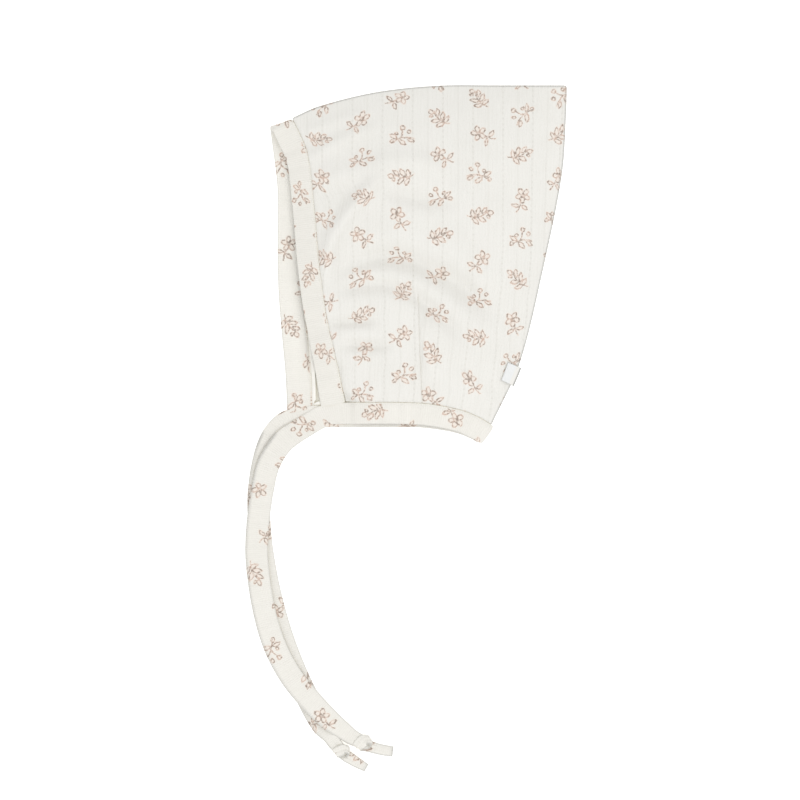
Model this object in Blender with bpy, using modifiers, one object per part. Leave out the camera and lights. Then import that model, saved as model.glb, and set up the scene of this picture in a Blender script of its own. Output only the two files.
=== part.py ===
"""A baby bonnet of thin printed jersey, lying flat on its side with its two ties loose beside it.

X runs from the face opening back to the crown's tip, Y up the head, and Z up off the table.
Two side panels meet along a crown seam and a back seam. A folded band edges the face opening, and
another edges the neck and runs on past the front corners as the two ties.
"""
import math
from collections import namedtuple

import bmesh
import bpy
from mathutils import Vector

# Driving sizes, in metres.
BONNET_DEPTH = 0.148
BONNET_HEIGHT = 0.178
LOFT = 0.021                # middle of the upper side's cloth above the table, where it stands highest
SEAM_HEIGHT = 0.0038        # crown and back seam above the table
SIDE_WALL = 0.0012
BAND_WALL = 0.0020
FRONT_BAND_WIDTH = 0.0125
NECK_BAND_WIDTH = 0.0106
FRONT_DROOP = 0.0045        # how far the folded edge hangs below the seam that holds it
NECK_DROOP = 0.0025
CROWN_REACH = 0.040         # how far in from a seam the upper side goes on rising
BACK_REACH = 0.036
UNDER_REACH = 0.014         # how far in from a seam the lower side is lifted off the table
DART_DEPTH = 0.0013
DART_WIDTH = 0.0045
FOLD_DEPTH = 0.0018
FOLD_WIDTH = 0.0052
TIE_LENGTH = 0.200          # straight distance that sets the size of the ties' loose curve
TIE_WIDTH = 0.0110
KNOT_WIDTH = 0.0088
KNOT_HEIGHT = 0.0064
LABEL_WIDTH = 0.0105
LABEL_REACH = 0.0070        # how far the label lies over the upper side
LABEL_LIP = 0.0014          # how far it stands out past the back seam
LABEL_WALL = 0.0008
GAP = 0.0003                # clearance between pieces that touch
SEAM_GAP = 0.0006           # the same in plan at a sewn edge, where the walls tilt towards each other
CORNER_GAP = 0.0009         # and where the front band's ends meet the neck band

# Shape of the rise from a sewn edge, and how far the cloth sinks towards its open edges.
RISE_POWER = 2.3
NECK_SINK_SHARE = 0.36
FRONT_SINK_SHARE = 0.10
CORNER_SINK_SHARE = 0.62
TURNED_SHARE = 0.88         # what the turn at a seam leaves of a band's width
CORNER_DROOP_SHARE = 0.45   # how much of the front band's droop is left at the neck corner
BAND_LIFT_SHARE = 0.55      # how far the lower bands follow the lower side up to the seams
TURN_BULGE_SHARE = 0.35     # how far a band's turn stands out past a seam, in band walls
LABEL_PLACE = 0.155         # share of the back seam, from the nape, where the label is sewn in

# Cells of each sheet, and rings and sides of each tie.
SIDE_CELLS = (27, 32)
UNDER_CELLS = (18, 22)
FRONT_BAND_CELLS = (52, 3)
NECK_BAND_CELLS = (40, 3)
LABEL_CELLS = (6, 3)
TIE_RINGS = 62
TIE_SIDES = 10

# Points in plan: x as a share of BONNET_DEPTH, y as a share of BONNET_HEIGHT, from the origin.
Station = namedtuple("Station", "x y")
Side = namedtuple("Side", "crown back neck front")

CROWN_SEAM = (
    Station(-0.432, 0.397), Station(-0.340, 0.430), Station(-0.150, 0.469),
    Station(0.059, 0.4875), Station(0.270, 0.4885), Station(0.495, 0.4885),
)
BACK_SEAM = (
    Station(0.240, -0.4635), Station(0.3355, -0.291), Station(0.4155, -0.0225),
    Station(0.478, 0.239), Station(0.4925, 0.411), Station(0.495, 0.4885),
)
UPPER = Side(
    crown=CROWN_SEAM,
    back=BACK_SEAM,
    neck=(
        Station(-0.253, -0.4005), Station(0.003, -0.403), Station(0.132, -0.421),
        Station(0.198, -0.4425), Station(0.240, -0.4635),
    ),
    front=(
        Station(-0.253, -0.4005), Station(-0.277, -0.302), Station(-0.299, -0.223),
        Station(-0.322, -0.125), Station(-0.341, 0.0), Station(-0.357, 0.150),
        Station(-0.380, 0.297), Station(-0.432, 0.397),
    ),
)
UNDER = Side(
    crown=CROWN_SEAM,
    back=BACK_SEAM,
    neck=(
        Station(-0.365, -0.4085), Station(-0.135, -0.4090), Station(0.003, -0.4095),
        Station(0.132, -0.425), Station(0.198, -0.4445), Station(0.240, -0.4635),
    ),
    front=(
        Station(-0.365, -0.4085), Station(-0.3675, -0.320), Station(-0.3885, -0.1235),
        Station(-0.3945, 0.0), Station(-0.393, 0.132), Station(-0.398, 0.235), Station(-0.432, 0.397),
    ),
)

# Front ends of the neck band's upper edge, past the panels, and the way each end is cut in plan.
UPPER_CORNER = Station(-0.335, -0.4110)
UNDER_CORNER = Station(-0.449, -0.4090)
CORNER_CUT = Vector((0.43, -0.90, 0.0)).normalized()

DART_TOP = Station(-0.008, -0.073)
DART_FOOT = Station(0.006, -0.402)

# Soft folds of the upper side: three points in plan, then shares of FOLD_DEPTH and FOLD_WIDTH.
# A ridge has a depth below nought.
Fold = namedtuple("Fold", "x0 y0 x1 y1 x2 y2 depth width")
FOLDS = (
    Fold(-0.150, 0.225, -0.257, 0.150, -0.320, 0.075, 1.0, 0.9),
    Fold(-0.345, 0.165, -0.300, 0.155, -0.255, 0.195, -0.7, 0.9),
    Fold(-0.335, 0.035, -0.290, 0.045, -0.220, 0.020, -0.6, 1.0),
    Fold(-0.150, 0.017, 0.055, 0.050, 0.182, -0.195, 1.0, 1.0),
    Fold(-0.270, -0.084, -0.135, -0.074, -0.025, -0.092, 0.8, 0.8),
    Fold(-0.280, -0.140, -0.150, -0.142, -0.030, -0.136, -0.5, 0.8),
    Fold(-0.284, -0.197, -0.170, -0.206, -0.027, -0.190, 0.8, 0.7),
    Fold(-0.270, -0.236, -0.150, -0.242, -0.030, -0.230, -0.5, 0.7),
    Fold(-0.262, -0.276, -0.149, -0.284, -0.025, -0.262, 0.7, 0.7),
    Fold(-0.216, 0.326, -0.169, 0.303, -0.115, 0.281, 0.5, 0.9),
    Fold(0.075, -0.200, 0.090, -0.290, 0.070, -0.370, -0.5, 1.3),
)

# Ties from their start at the neck band: the middle line as shares of TIE_LENGTH, the width as a share of
# TIE_WIDTH and the thickness as a share of BAND_WALL, up to the knot.
Strap = namedtuple("Strap", "x y width thickness")
UPPER_STRAP = (
    Strap(-0.048, -0.025, 1.0, 1.0), Strap(-0.105, -0.066, 1.0, 1.0), Strap(-0.140, -0.120, 1.0, 1.0),
    Strap(-0.155, -0.180, 1.0, 1.0), Strap(-0.164, -0.237, 1.0, 1.0), Strap(-0.170, -0.304, 1.0, 1.0),
    Strap(-0.170, -0.360, 1.0, 1.0), Strap(-0.156, -0.466, 1.0, 1.0), Strap(-0.130, -0.562, 1.0, 1.0),
    Strap(-0.090, -0.642, 1.0, 1.0), Strap(-0.032, -0.716, 1.0, 1.0), Strap(0.012, -0.757, 1.0, 1.0),
    Strap(0.040, -0.778, 0.92, 1.15),
)
UNDER_STRAP = (
    Strap(-0.019, -0.021, 1.0, 1.0), Strap(-0.041, -0.051, 1.0, 1.0), Strap(-0.067, -0.110, 1.0, 1.0),
    Strap(-0.080, -0.185, 1.0, 1.0), Strap(-0.081, -0.245, 1.0, 1.0), Strap(-0.074, -0.332, 1.0, 1.0),
    Strap(-0.054, -0.442, 1.0, 1.0), Strap(-0.024, -0.550, 1.0, 1.0), Strap(0.011, -0.642, 1.0, 1.0),
    Strap(0.051, -0.727, 1.0, 1.0), Strap(0.076, -0.781, 0.96, 1.0), Strap(0.098, -0.807, 0.66, 1.2),
)

# Knot and loose end, from the knot's middle: along and across it as shares of KNOT_WIDTH, the turn of the
# ring in degrees, and the ring's width and thickness as shares of KNOT_WIDTH and KNOT_HEIGHT.
Turn = namedtuple("Turn", "along across slant width thickness")
KNOT = (
    Turn(-0.56, 0.00, 0, 0.98, 0.55), Turn(-0.36, 0.02, -12, 1.00, 0.92), Turn(-0.14, 0.00, -20, 0.98, 1.00),
    Turn(0.02, 0.00, -24, 0.84, 0.84), Turn(0.20, -0.02, -20, 0.92, 0.96), Turn(0.40, -0.02, -8, 0.84, 0.74),
)
UPPER_END = (
    Turn(0.62, -0.14, 0, 0.84, 0.62), Turn(1.00, -0.10, 0, 0.70, 0.50), Turn(1.55, -0.03, 0, 0.66, 0.46),
    Turn(2.10, 0.00, 0, 0.68, 0.44), Turn(2.58, 0.04, 0, 0.58, 0.42),
)
UNDER_END = (
    Turn(0.62, -0.05, 10, 0.92, 0.66), Turn(1.20, -0.06, 4, 0.94, 0.60), Turn(1.80, 0.06, 0, 0.90, 0.56),
    Turn(2.39, 0.22, -4, 0.76, 0.52),
)
Tie = namedtuple("Tie", "strap knot_x knot_y heading size loose_end")
UPPER_TIE = Tie(UPPER_STRAP, 0.0640, -0.7935, -25.0, 1.0, UPPER_END)
UNDER_TIE = Tie(UNDER_STRAP, 0.1225, -0.8380, -48.0, 0.70, UNDER_END)


def in_plan(station):
    return Vector((station.x * BONNET_DEPTH, station.y * BONNET_HEIGHT, 0.0))


def smooth_through(points, share):
    """The point at a share of the way along the smooth curve through points, and its direction."""
    runs = [0.0]
    for here, there in zip(points, points[1:]):
        runs.append(runs[-1] + max((there - here).length, 1e-9))
    goal = min(max(share, 0.0), 1.0) * runs[-1]
    last = len(points) - 1
    step = next(i for i in range(last) if goal <= runs[i + 1] or i == last - 1)

    def slope(i):
        before, after = max(i - 1, 0), min(i + 1, last)
        return (points[after] - points[before]) / (runs[after] - runs[before])

    length = runs[step + 1] - runs[step]
    t = (goal - runs[step]) / length
    start, end = points[step], points[step + 1]
    leave, arrive = slope(step) * length, slope(step + 1) * length
    point = (
        start * (2 * t**3 - 3 * t**2 + 1) + leave * (t**3 - 2 * t**2 + t)
        + end * (3 * t**2 - 2 * t**3) + arrive * (t**3 - t**2)
    )
    heading = (
        (end - start) * (6 * t - 6 * t**2) + leave * (3 * t**2 - 4 * t + 1) + arrive * (3 * t**2 - 2 * t)
    )
    return point, heading


def on_edge(stations, share):
    return smooth_through([in_plan(station) for station in stations], share)[0]


def outward(stations, share, turn):
    """The level direction square to an edge; turn is 1 where it lies left of the edge's run, else -1."""
    heading = smooth_through([in_plan(station) for station in stations], share)[1]
    return Vector((-heading.y * turn, heading.x * turn, 0.0)).normalized()


def laid_out(side, u, v):
    """A side's point in plan, u from its front to its back and v from its neck to its crown."""
    front, back = on_edge(side.front, v), on_edge(side.back, v)
    neck, crown = on_edge(side.neck, u), on_edge(side.crown, u)
    corners = (
        in_plan(side.front[0]) * (1 - u) * (1 - v) + in_plan(side.back[0]) * u * (1 - v)
        + in_plan(side.front[-1]) * (1 - u) * v + in_plan(side.back[-1]) * u * v
    )
    return front * (1 - u) + back * u + neck * (1 - v) + crown * v - corners


def from_seams(side, u, v):
    """Distances in plan from the crown seam and from the back seam."""
    from_crown = (1 - v) * (on_edge(side.crown, u) - on_edge(side.neck, u)).length
    from_back = (1 - u) * (on_edge(side.back, v) - on_edge(side.front, v)).length
    return from_crown, from_back


def risen(distance, reach):
    return 1.0 - max(0.0, 1.0 - distance / reach) ** RISE_POWER


def left_of(share, reach):
    """One at an edge, falling to nought at a share of the side called its reach."""
    return max(0.0, 1.0 - share / reach) ** 2


def fold_depth(point):
    """How far the folds press the upper side down at a point in plan."""
    depth = 0.0
    for fold in FOLDS:
        start = in_plan(Station(fold.x0, fold.y0))
        middle = in_plan(Station(fold.x1, fold.y1))
        end = in_plan(Station(fold.x2, fold.y2))
        nearest = math.inf
        fade = 0.0
        for i in range(17):
            t = i / 16
            on_fold = start * (1 - t) ** 2 + middle * 2 * t * (1 - t) + end * t**2
            distance = (point - on_fold).length
            if distance < nearest:
                nearest = distance
                fade = min(1.0, 4 * t * (1 - t) + 0.35)
        depth += fold.depth * fade * FOLD_DEPTH * math.exp(-((nearest / (fold.width * FOLD_WIDTH)) ** 2))
    return depth


def dart_depth(point):
    """A crease along the dart, from nothing at its top to its full depth at the neck."""
    top, foot = in_plan(DART_TOP), in_plan(DART_FOOT)
    down = (top.y - point.y) / (top.y - foot.y)
    if down <= 0.0:
        return 0.0
    beside = point.x - (top.x + (foot.x - top.x) * down)
    return DART_DEPTH * min(1.0, down * 2) * math.exp(-((beside / DART_WIDTH) ** 2))


def upper_point(u, v):
    """The middle of the upper side's cloth."""
    point = laid_out(UPPER, u, v)
    from_crown, from_back = from_seams(UPPER, u, v)
    rim = SEAM_HEIGHT + (SIDE_WALL + GAP) / 2
    rise = risen(from_crown, CROWN_REACH) * risen(from_back, BACK_REACH)
    open_edges = (
        (1 - NECK_SINK_SHARE * left_of(v, 0.5)) * (1 - FRONT_SINK_SHARE * left_of(u, 0.25))
        * (1 - CORNER_SINK_SHARE * left_of(u, 0.38) * left_of(v, 0.32))
    )
    pressed = (fold_depth(point) + dart_depth(point)) * rise
    point.z = rim + (LOFT - rim) * rise * open_edges - pressed
    return point


def under_lift(side, u, v):
    """A share from nought, flat on the table, to one at the seams."""
    return max(max(0.0, 1.0 - distance / UNDER_REACH) ** 2 for distance in from_seams(side, u, v))


def under_point(u, v):
    """The middle of the lower side's cloth, flat on the table up to its lifted rim."""
    point = laid_out(UNDER, u, v)
    rim = SEAM_HEIGHT - (SIDE_WALL + GAP) / 2
    point.z = SIDE_WALL / 2 + (rim - SIDE_WALL / 2) * under_lift(UNDER, u, v)
    return point


def under_band_height(u, v):
    return BAND_WALL / 2 + (SEAM_HEIGHT - BAND_WALL / 2) * under_lift(UNDER, u, v) * BAND_LIFT_SHARE


def corner_point(station, height):
    point = in_plan(station)
    point.z = height
    return point


def turned_in(v):
    """The share of its width that the front band keeps as it nears its turn over the crown seam."""
    return 1 - (1 - TURNED_SHARE) * left_of(1 - v, 0.25)


def front_band_rows():
    """Sewn and folded edge of the front band: up the upper side, over the crown, down the lower side."""
    sewn, folded = [], []
    up = Vector((0.0, CORNER_GAP, 0.0))
    start = upper_point(0.0, 0.0)
    sewn.append(start + outward(UPPER.front, 0.0, 1) * SEAM_GAP + up)
    folded.append(corner_point(UPPER_CORNER, start.z - FRONT_DROOP * CORNER_DROOP_SHARE) + up)
    for v in (0.08, 0.17, 0.27, 0.38, 0.50, 0.62, 0.73, 0.82, 0.89, 0.945, 0.982):
        out = outward(UPPER.front, v, 1)
        start = upper_point(0.0, v) + out * SEAM_GAP
        at_corner = 1 - (1 - CORNER_DROOP_SHARE) * left_of(v, 0.3)
        droop = FRONT_DROOP * at_corner * (1 - left_of(1 - v, 0.22))
        reach = math.sqrt((FRONT_BAND_WIDTH * turned_in(v))**2 - droop**2)
        sewn.append(start)
        folded.append(start + out * reach - Vector((0.0, 0.0, droop)))
    crown_out = outward(UPPER.front, 1.0, 1)
    over_crown = Vector((-0.2, 1.0, 0.0)) * BAND_WALL * TURN_BULGE_SHARE
    top = in_plan(CROWN_SEAM[0]) + crown_out * SEAM_GAP + over_crown
    top.z = SEAM_HEIGHT
    sewn.append(top)
    folded.append(top + crown_out * FRONT_BAND_WIDTH * turned_in(1.0))
    for v in (0.982, 0.945, 0.89, 0.80, 0.68, 0.55, 0.40, 0.26, 0.12):
        out = outward(UNDER.front, v, 1)
        start = on_edge(UNDER.front, v) + out * SEAM_GAP
        start.z = under_band_height(0.0, v)
        sewn.append(start)
        folded.append(start + out * FRONT_BAND_WIDTH * turned_in(v))
    end = on_edge(UNDER.front, 0.0) + outward(UNDER.front, 0.0, 1) * SEAM_GAP + up
    end.z = BAND_WALL / 2
    sewn.append(end)
    folded.append(corner_point(UNDER_CORNER, BAND_WALL / 2) + up)
    return sewn, folded


def neck_band_rows():
    """Sewn and folded edge of the neck band: from the upper front corner, round the nape, to the lower."""
    sewn, folded = [], []
    corner = corner_point(UPPER_CORNER, upper_point(0.0, 0.0).z - FRONT_DROOP * CORNER_DROOP_SHARE)
    sewn.append(corner)
    folded.append(corner + CORNER_CUT * NECK_BAND_WIDTH - Vector((0.0, 0.0, NECK_DROOP * 0.4)))
    for u in (0.0, 0.08, 0.18, 0.30, 0.42, 0.54, 0.66, 0.77, 0.86, 0.93, 0.975):
        out = outward(UPPER.neck, u, -1)
        start = upper_point(u, 0.0) + out * SEAM_GAP
        droop = NECK_DROOP * (1 - left_of(1 - u, 0.3)) * (1 - 0.5 * left_of(u, 0.2))
        reach = math.sqrt(NECK_BAND_WIDTH**2 - droop**2)
        sewn.append(start)
        folded.append(start + out * reach - Vector((0.0, 0.0, droop)))
    nape = in_plan(BACK_SEAM[0])
    back_out = outward(BACK_SEAM, 0.0, -1)
    nape_down = -smooth_through([in_plan(station) for station in BACK_SEAM], 0.0)[1].normalized()
    turn = nape + nape_down * SEAM_GAP + back_out * BAND_WALL * TURN_BULGE_SHARE
    turn.z = SEAM_HEIGHT
    sewn.append(turn)
    folded.append(turn + nape_down * NECK_BAND_WIDTH * TURNED_SHARE)
    for u in (0.975, 0.93, 0.86, 0.74, 0.60, 0.45, 0.30, 0.15, 0.0):
        out = outward(UNDER.neck, u, -1)
        start = on_edge(UNDER.neck, u) + out * SEAM_GAP
        start.z = under_band_height(u, 0.0)
        sewn.append(start)
        folded.append(start + out * NECK_BAND_WIDTH)
    corner = corner_point(UNDER_CORNER, BAND_WALL / 2)
    sewn.append(corner)
    folded.append(corner + CORNER_CUT * NECK_BAND_WIDTH)
    return sewn, folded


def strip_between(rows):
    """A placing function for a strip whose long edges follow the two rows of points."""
    sewn, folded = rows

    def place(u, v):
        return smooth_through(sewn, u)[0] * (1 - v) + smooth_through(folded, u)[0] * v

    return place


def label_point(u, v):
    """The folded label: u from its inner end out past the back seam, v along the seam."""
    seam = LABEL_PLACE + (v - 0.5) * LABEL_WIDTH / BONNET_HEIGHT
    width = (on_edge(UPPER.back, seam) - on_edge(UPPER.front, seam)).length
    run = (LABEL_REACH + LABEL_LIP) * (1 - u) - LABEL_LIP
    inward = max(run, 0.0) / width
    small = 0.004
    here = upper_point(1 - inward, seam)
    across = (here - upper_point(1 - inward - small, seam)).normalized()
    up_seam = (upper_point(1 - inward, seam + small) - upper_point(1 - inward, seam - small)).normalized()
    normal = across.cross(up_seam).normalized()
    clear = SIDE_WALL / 2 + GAP * 1.4 + LABEL_WALL / 2
    return here + normal * clear + across * max(-run, 0.0)


def tie_rings(tie, start_sewn, start_folded, height):
    """Middles, half-width vectors and half-thicknesses of a tie, from the neck band to its loose end."""
    cut = start_folded - start_sewn
    start = (start_sewn + start_folded) / 2
    away = Vector((cut.y, -cut.x, 0.0)).normalized()
    rows = [(start + away * GAP, cut / 2 * (TIE_WIDTH / NECK_BAND_WIDTH), BAND_WALL / 2)]
    origin = Vector((start.x, start.y, 0.0))
    route = [origin] + [origin + Vector((row.x, row.y, 0.0)) * TIE_LENGTH for row in tie.strap]
    for i, row in enumerate(tie.strap):
        middle = route[i + 1].copy()
        settled = min(1.0, (i + 1) / 2)
        middle.z = start.z * (1 - settled) + height * settled
        heading = (route[min(i + 2, len(route) - 1)] - route[i]).normalized()
        side = Vector((-heading.y, heading.x, 0.0))
        rows.append((middle, side * row.width * TIE_WIDTH / 2, row.thickness * BAND_WALL / 2))
    heading = Vector((math.cos(math.radians(tie.heading)), math.sin(math.radians(tie.heading)), 0.0))
    across = Vector((-heading.y, heading.x, 0.0))
    centre = origin + Vector((tie.knot_x, tie.knot_y, 0.0)) * TIE_LENGTH
    wide, high = KNOT_WIDTH * tie.size, KNOT_HEIGHT * tie.size
    for turn in KNOT + tie.loose_end:
        middle = centre + heading * turn.along * wide + across * turn.across * wide
        half = turn.thickness * high / 2
        middle.z = high / 2 if turn in KNOT else max(half, BAND_WALL / 2)
        angle = math.radians(turn.slant)
        side = across * math.cos(angle) + heading * math.sin(angle)
        rows.append((middle, side * turn.width * wide / 2, half))
    return rows


def new_material(name, colour, roughness):
    material = bpy.data.materials.new(name)
    material.use_nodes = True
    shader = material.node_tree.nodes["Principled BSDF"]
    shader.inputs["Base Color"].default_value = (*colour, 1.0)
    shader.inputs["Roughness"].default_value = roughness
    shader.inputs["Metallic"].default_value = 0.0
    return material


def add_piece(name, mesh, material, collection):
    mesh.shade_smooth()
    mesh.materials.append(material)
    piece = bpy.data.objects.new(name, mesh)
    collection.objects.link(piece)
    return piece


def add_sheet(name, place, cells, wall, material, collection):
    """A grid of cells laid where place puts each point, given its wall half to either side."""
    shape = bmesh.new()
    bmesh.ops.create_grid(shape, x_segments=cells[0], y_segments=cells[1], size=0.5)
    for vertex in shape.verts:
        vertex.co = place(vertex.co.x + 0.5, vertex.co.y + 0.5)
    bmesh.ops.recalc_face_normals(shape, faces=shape.faces)
    mesh = bpy.data.meshes.new(name)
    shape.to_mesh(mesh)
    shape.free()
    piece = add_piece(name, mesh, material, collection)
    solidify = piece.modifiers.new("wall", "SOLIDIFY")
    solidify.thickness = wall
    solidify.offset = 0.0
    solidify.use_even_offset = True
    return piece


def add_tie(name, rows, knot_rows, material, collection):
    """A strap, its knot and its loose end as one loft of flat rings."""
    middles = [row[0] for row in rows]
    length = sum((there - here).length for here, there in zip(middles, middles[1:]))
    shares, run = [0.0], 0.0
    for here, there in zip(middles, middles[1:]):
        run += (there - here).length
        shares.append(run / length)
    strap_share = shares[-knot_rows - 1]
    spread = [strap_share * i / TIE_RINGS for i in range(TIE_RINGS)] + shares[-knot_rows - 1:]
    shape = bmesh.new()
    rings = []
    for share in spread:
        index = max(i for i in range(len(shares) - 1) if shares[i] <= share + 1e-9)
        t = (share - shares[index]) / (shares[index + 1] - shares[index])
        middle, heading = smooth_through(middles, share)
        side = rows[index][1].lerp(rows[index + 1][1], t)
        half = rows[index][2] + (rows[index + 1][2] - rows[index][2]) * t
        if index < len(rows) - knot_rows:
            square = Vector((-heading.y, heading.x, 0.0)).normalized()
            if square.dot(side) < 0:
                square = -square
            side = side.lerp(square * side.length, min(1.0, index + t))
        ring = []
        for i in range(TIE_SIDES):
            angle = 2 * math.pi * i / TIE_SIDES
            wide = math.copysign(abs(math.cos(angle)) ** 0.6, math.cos(angle))
            high = math.copysign(abs(math.sin(angle)) ** 0.7, math.sin(angle))
            ring.append(shape.verts.new(middle + side * wide + Vector((0.0, 0.0, half * high))))
        rings.append(ring)
    for here, there in zip(rings, rings[1:]):
        for i in range(TIE_SIDES):
            j = (i + 1) % TIE_SIDES
            shape.faces.new((here[i], here[j], there[j], there[i]))
    shape.faces.new(rings[0][::-1])
    shape.faces.new(rings[-1])
    bmesh.ops.recalc_face_normals(shape, faces=shape.faces)
    mesh = bpy.data.meshes.new(name)
    shape.to_mesh(mesh)
    shape.free()
    return add_piece(name, mesh, material, collection)


def build():
    for leftover in list(bpy.data.objects):
        bpy.data.objects.remove(leftover)
    bonnet = bpy.data.collections.new("baby_bonnet")
    bpy.context.scene.collection.children.link(bonnet)

    jersey = new_material("ivory_jersey", (0.86, 0.85, 0.79), 0.9)
    binding = new_material("cream_binding", (0.87, 0.84, 0.77), 0.88)
    woven_label = new_material("woven_label", (0.88, 0.87, 0.83), 0.6)

    front_rows = front_band_rows()
    neck_rows = neck_band_rows()
    add_sheet("upper_side", upper_point, SIDE_CELLS, SIDE_WALL, jersey, bonnet)
    add_sheet("lower_side", under_point, UNDER_CELLS, SIDE_WALL, jersey, bonnet)
    add_sheet("front_band", strip_between(front_rows), FRONT_BAND_CELLS, BAND_WALL, binding, bonnet)
    add_sheet("neck_band", strip_between(neck_rows), NECK_BAND_CELLS, BAND_WALL, binding, bonnet)
    add_sheet("label_tab", label_point, LABEL_CELLS, LABEL_WALL, woven_label, bonnet)

    sewn, folded = neck_rows
    on_table = BAND_WALL / 2
    on_lower_tie = BAND_WALL * 1.5 + GAP
    upper_rings = tie_rings(UPPER_TIE, sewn[0], folded[0], on_lower_tie)
    lower_rings = tie_rings(UNDER_TIE, sewn[-1], folded[-1], on_table)
    add_tie("upper_tie", upper_rings, len(KNOT + UPPER_END), binding, bonnet)
    add_tie("lower_tie", lower_rings, len(KNOT + UNDER_END), binding, bonnet)


build()
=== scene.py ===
# %% [markdown]
# # A baby bonnet of printed jersey, laid flat
# The bonnet is two side panels of thin rib jersey, sewn together over the head and down the back, with a
# folded band round the face, another round the neck, and two cloth ties that end in a knot.
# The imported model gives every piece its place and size. This lesson gives each piece its cloth: a thin
# curved sheet with its folds, its rolled seams and its print.

# %% Load the frame
import math

import bmesh
import bpy
import numpy as np
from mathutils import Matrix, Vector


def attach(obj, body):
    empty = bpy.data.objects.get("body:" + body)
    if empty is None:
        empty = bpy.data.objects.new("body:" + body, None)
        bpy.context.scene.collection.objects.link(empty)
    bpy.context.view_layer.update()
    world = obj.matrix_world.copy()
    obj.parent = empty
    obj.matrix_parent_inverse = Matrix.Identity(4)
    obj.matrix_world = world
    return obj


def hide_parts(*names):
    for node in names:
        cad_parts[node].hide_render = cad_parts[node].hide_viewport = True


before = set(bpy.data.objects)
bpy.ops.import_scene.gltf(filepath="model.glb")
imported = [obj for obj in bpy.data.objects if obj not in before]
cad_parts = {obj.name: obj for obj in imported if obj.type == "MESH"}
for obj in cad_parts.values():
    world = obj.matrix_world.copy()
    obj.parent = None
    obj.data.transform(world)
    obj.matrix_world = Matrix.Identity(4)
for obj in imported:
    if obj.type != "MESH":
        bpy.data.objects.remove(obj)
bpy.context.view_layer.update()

# %% [markdown]
# ## Camera, floor and light
# A flat lay is photographed from straight above. A long lens far away keeps the 20 mm thick bonnet free of
# perspective, so that its outline is the same as its plan. The frame is 400 mm wide on the table.
# An even pale sky gives nearly all the light, as white walls round a studio table do. A broad lamp stands
# far off to the lower right, so that each fold has one side that is a trace darker. The table is whiter than
# the cloth, and the light is set so that it comes out pure white while the ivory cloth doesn't.

# %% Camera over the table
VIEW_CENTRE = (-0.010, -0.070)
VIEW_WIDTH = 0.400
LENS = 200.0
SENSOR = 36.0

lens = bpy.data.cameras.new("overhead_camera")
lens.lens = LENS
lens.sensor_width = SENSOR
lens.clip_end = 50.0
camera = bpy.data.objects.new("overhead_camera", lens)
camera.location = (*VIEW_CENTRE, VIEW_WIDTH * LENS / SENSOR)
bpy.context.scene.collection.objects.link(camera)
bpy.context.scene.camera = camera
print("The camera hangs", round(camera.location.z, 3), "m over the table")

# %% Pale table
TABLE_SIZE = 8.0
TABLE_GLOW = 0.35       # the table is lit from within a little, so that no shadow shows on it
TABLE_DROP = 0.0002     # keeps the table just clear of the cloth that lies on it
TABLE_WHITE = (0.98, 0.98, 0.98, 1.0)
PURE_WHITE = (1.0, 1.0, 1.0, 1.0)


def new_material(name):
    """A material, its node tree and its shader."""
    material = bpy.data.materials.new(name)
    material.use_nodes = True
    return material, material.node_tree, material.node_tree.nodes["Principled BSDF"]


def set_sockets(node, values):
    """Fill a node's own sockets, by their names."""
    for name, value in values.items():
        node.inputs[name].default_value = value


bpy.ops.object.select_all(action="DESELECT")
bpy.ops.mesh.primitive_plane_add(size=TABLE_SIZE, location=(*VIEW_CENTRE, -TABLE_DROP))
table = bpy.context.object
table.name = "pale_table"
white, _, white_shader = new_material("white_table")
set_sockets(white_shader, {
    "Base Color": TABLE_WHITE, "Roughness": 1.0, "Specular IOR Level": 0.0,
    "Emission Color": PURE_WHITE, "Emission Strength": TABLE_GLOW,
})
table.data.materials.append(white)
table.visible_diffuse = False   # it throws no light up, so the cloth's outer edges keep a thin grey line
print("The table is", TABLE_SIZE, "m wide")

# %% Soft light
SKY_STRENGTH = 1.085
LAMP_POWER = 10.0       # watts
LAMP_SIZE = 0.8         # metres across
LAMP_PLACE = (0.45, -1.30, 2.0)

sky = bpy.data.worlds.new("pale_sky")
sky.use_nodes = True
set_sockets(sky.node_tree.nodes["Background"], {"Color": PURE_WHITE, "Strength": SKY_STRENGTH})
bpy.context.scene.world = sky

lamp_data = bpy.data.lights.new("soft_lamp", "AREA")
lamp_data.shape = "DISK"
lamp_data.size = LAMP_SIZE
lamp_data.energy = LAMP_POWER
lamp = bpy.data.objects.new("soft_lamp", lamp_data)
lamp.location = LAMP_PLACE
aim = Vector((*VIEW_CENTRE, 0.0)) - lamp.location
lamp.rotation_euler = aim.to_track_quat("-Z", "Y").to_euler()
lamp.visible_camera = False
bpy.context.scene.collection.objects.link(lamp)
bpy.context.scene.view_settings.view_transform = "Standard"
print("The lamp is", round(lamp.location.length, 2), "m from the middle of the bonnet")

# %% [markdown]
# ## Sizes and outlines
# The outlines are the same ones that the model was cut to. Each is a short row of stations: x is a share
# of the bonnet's depth, from the face to the back, and y a share of its height, from the neck to the crown.
# A smooth curve runs through each row.

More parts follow.
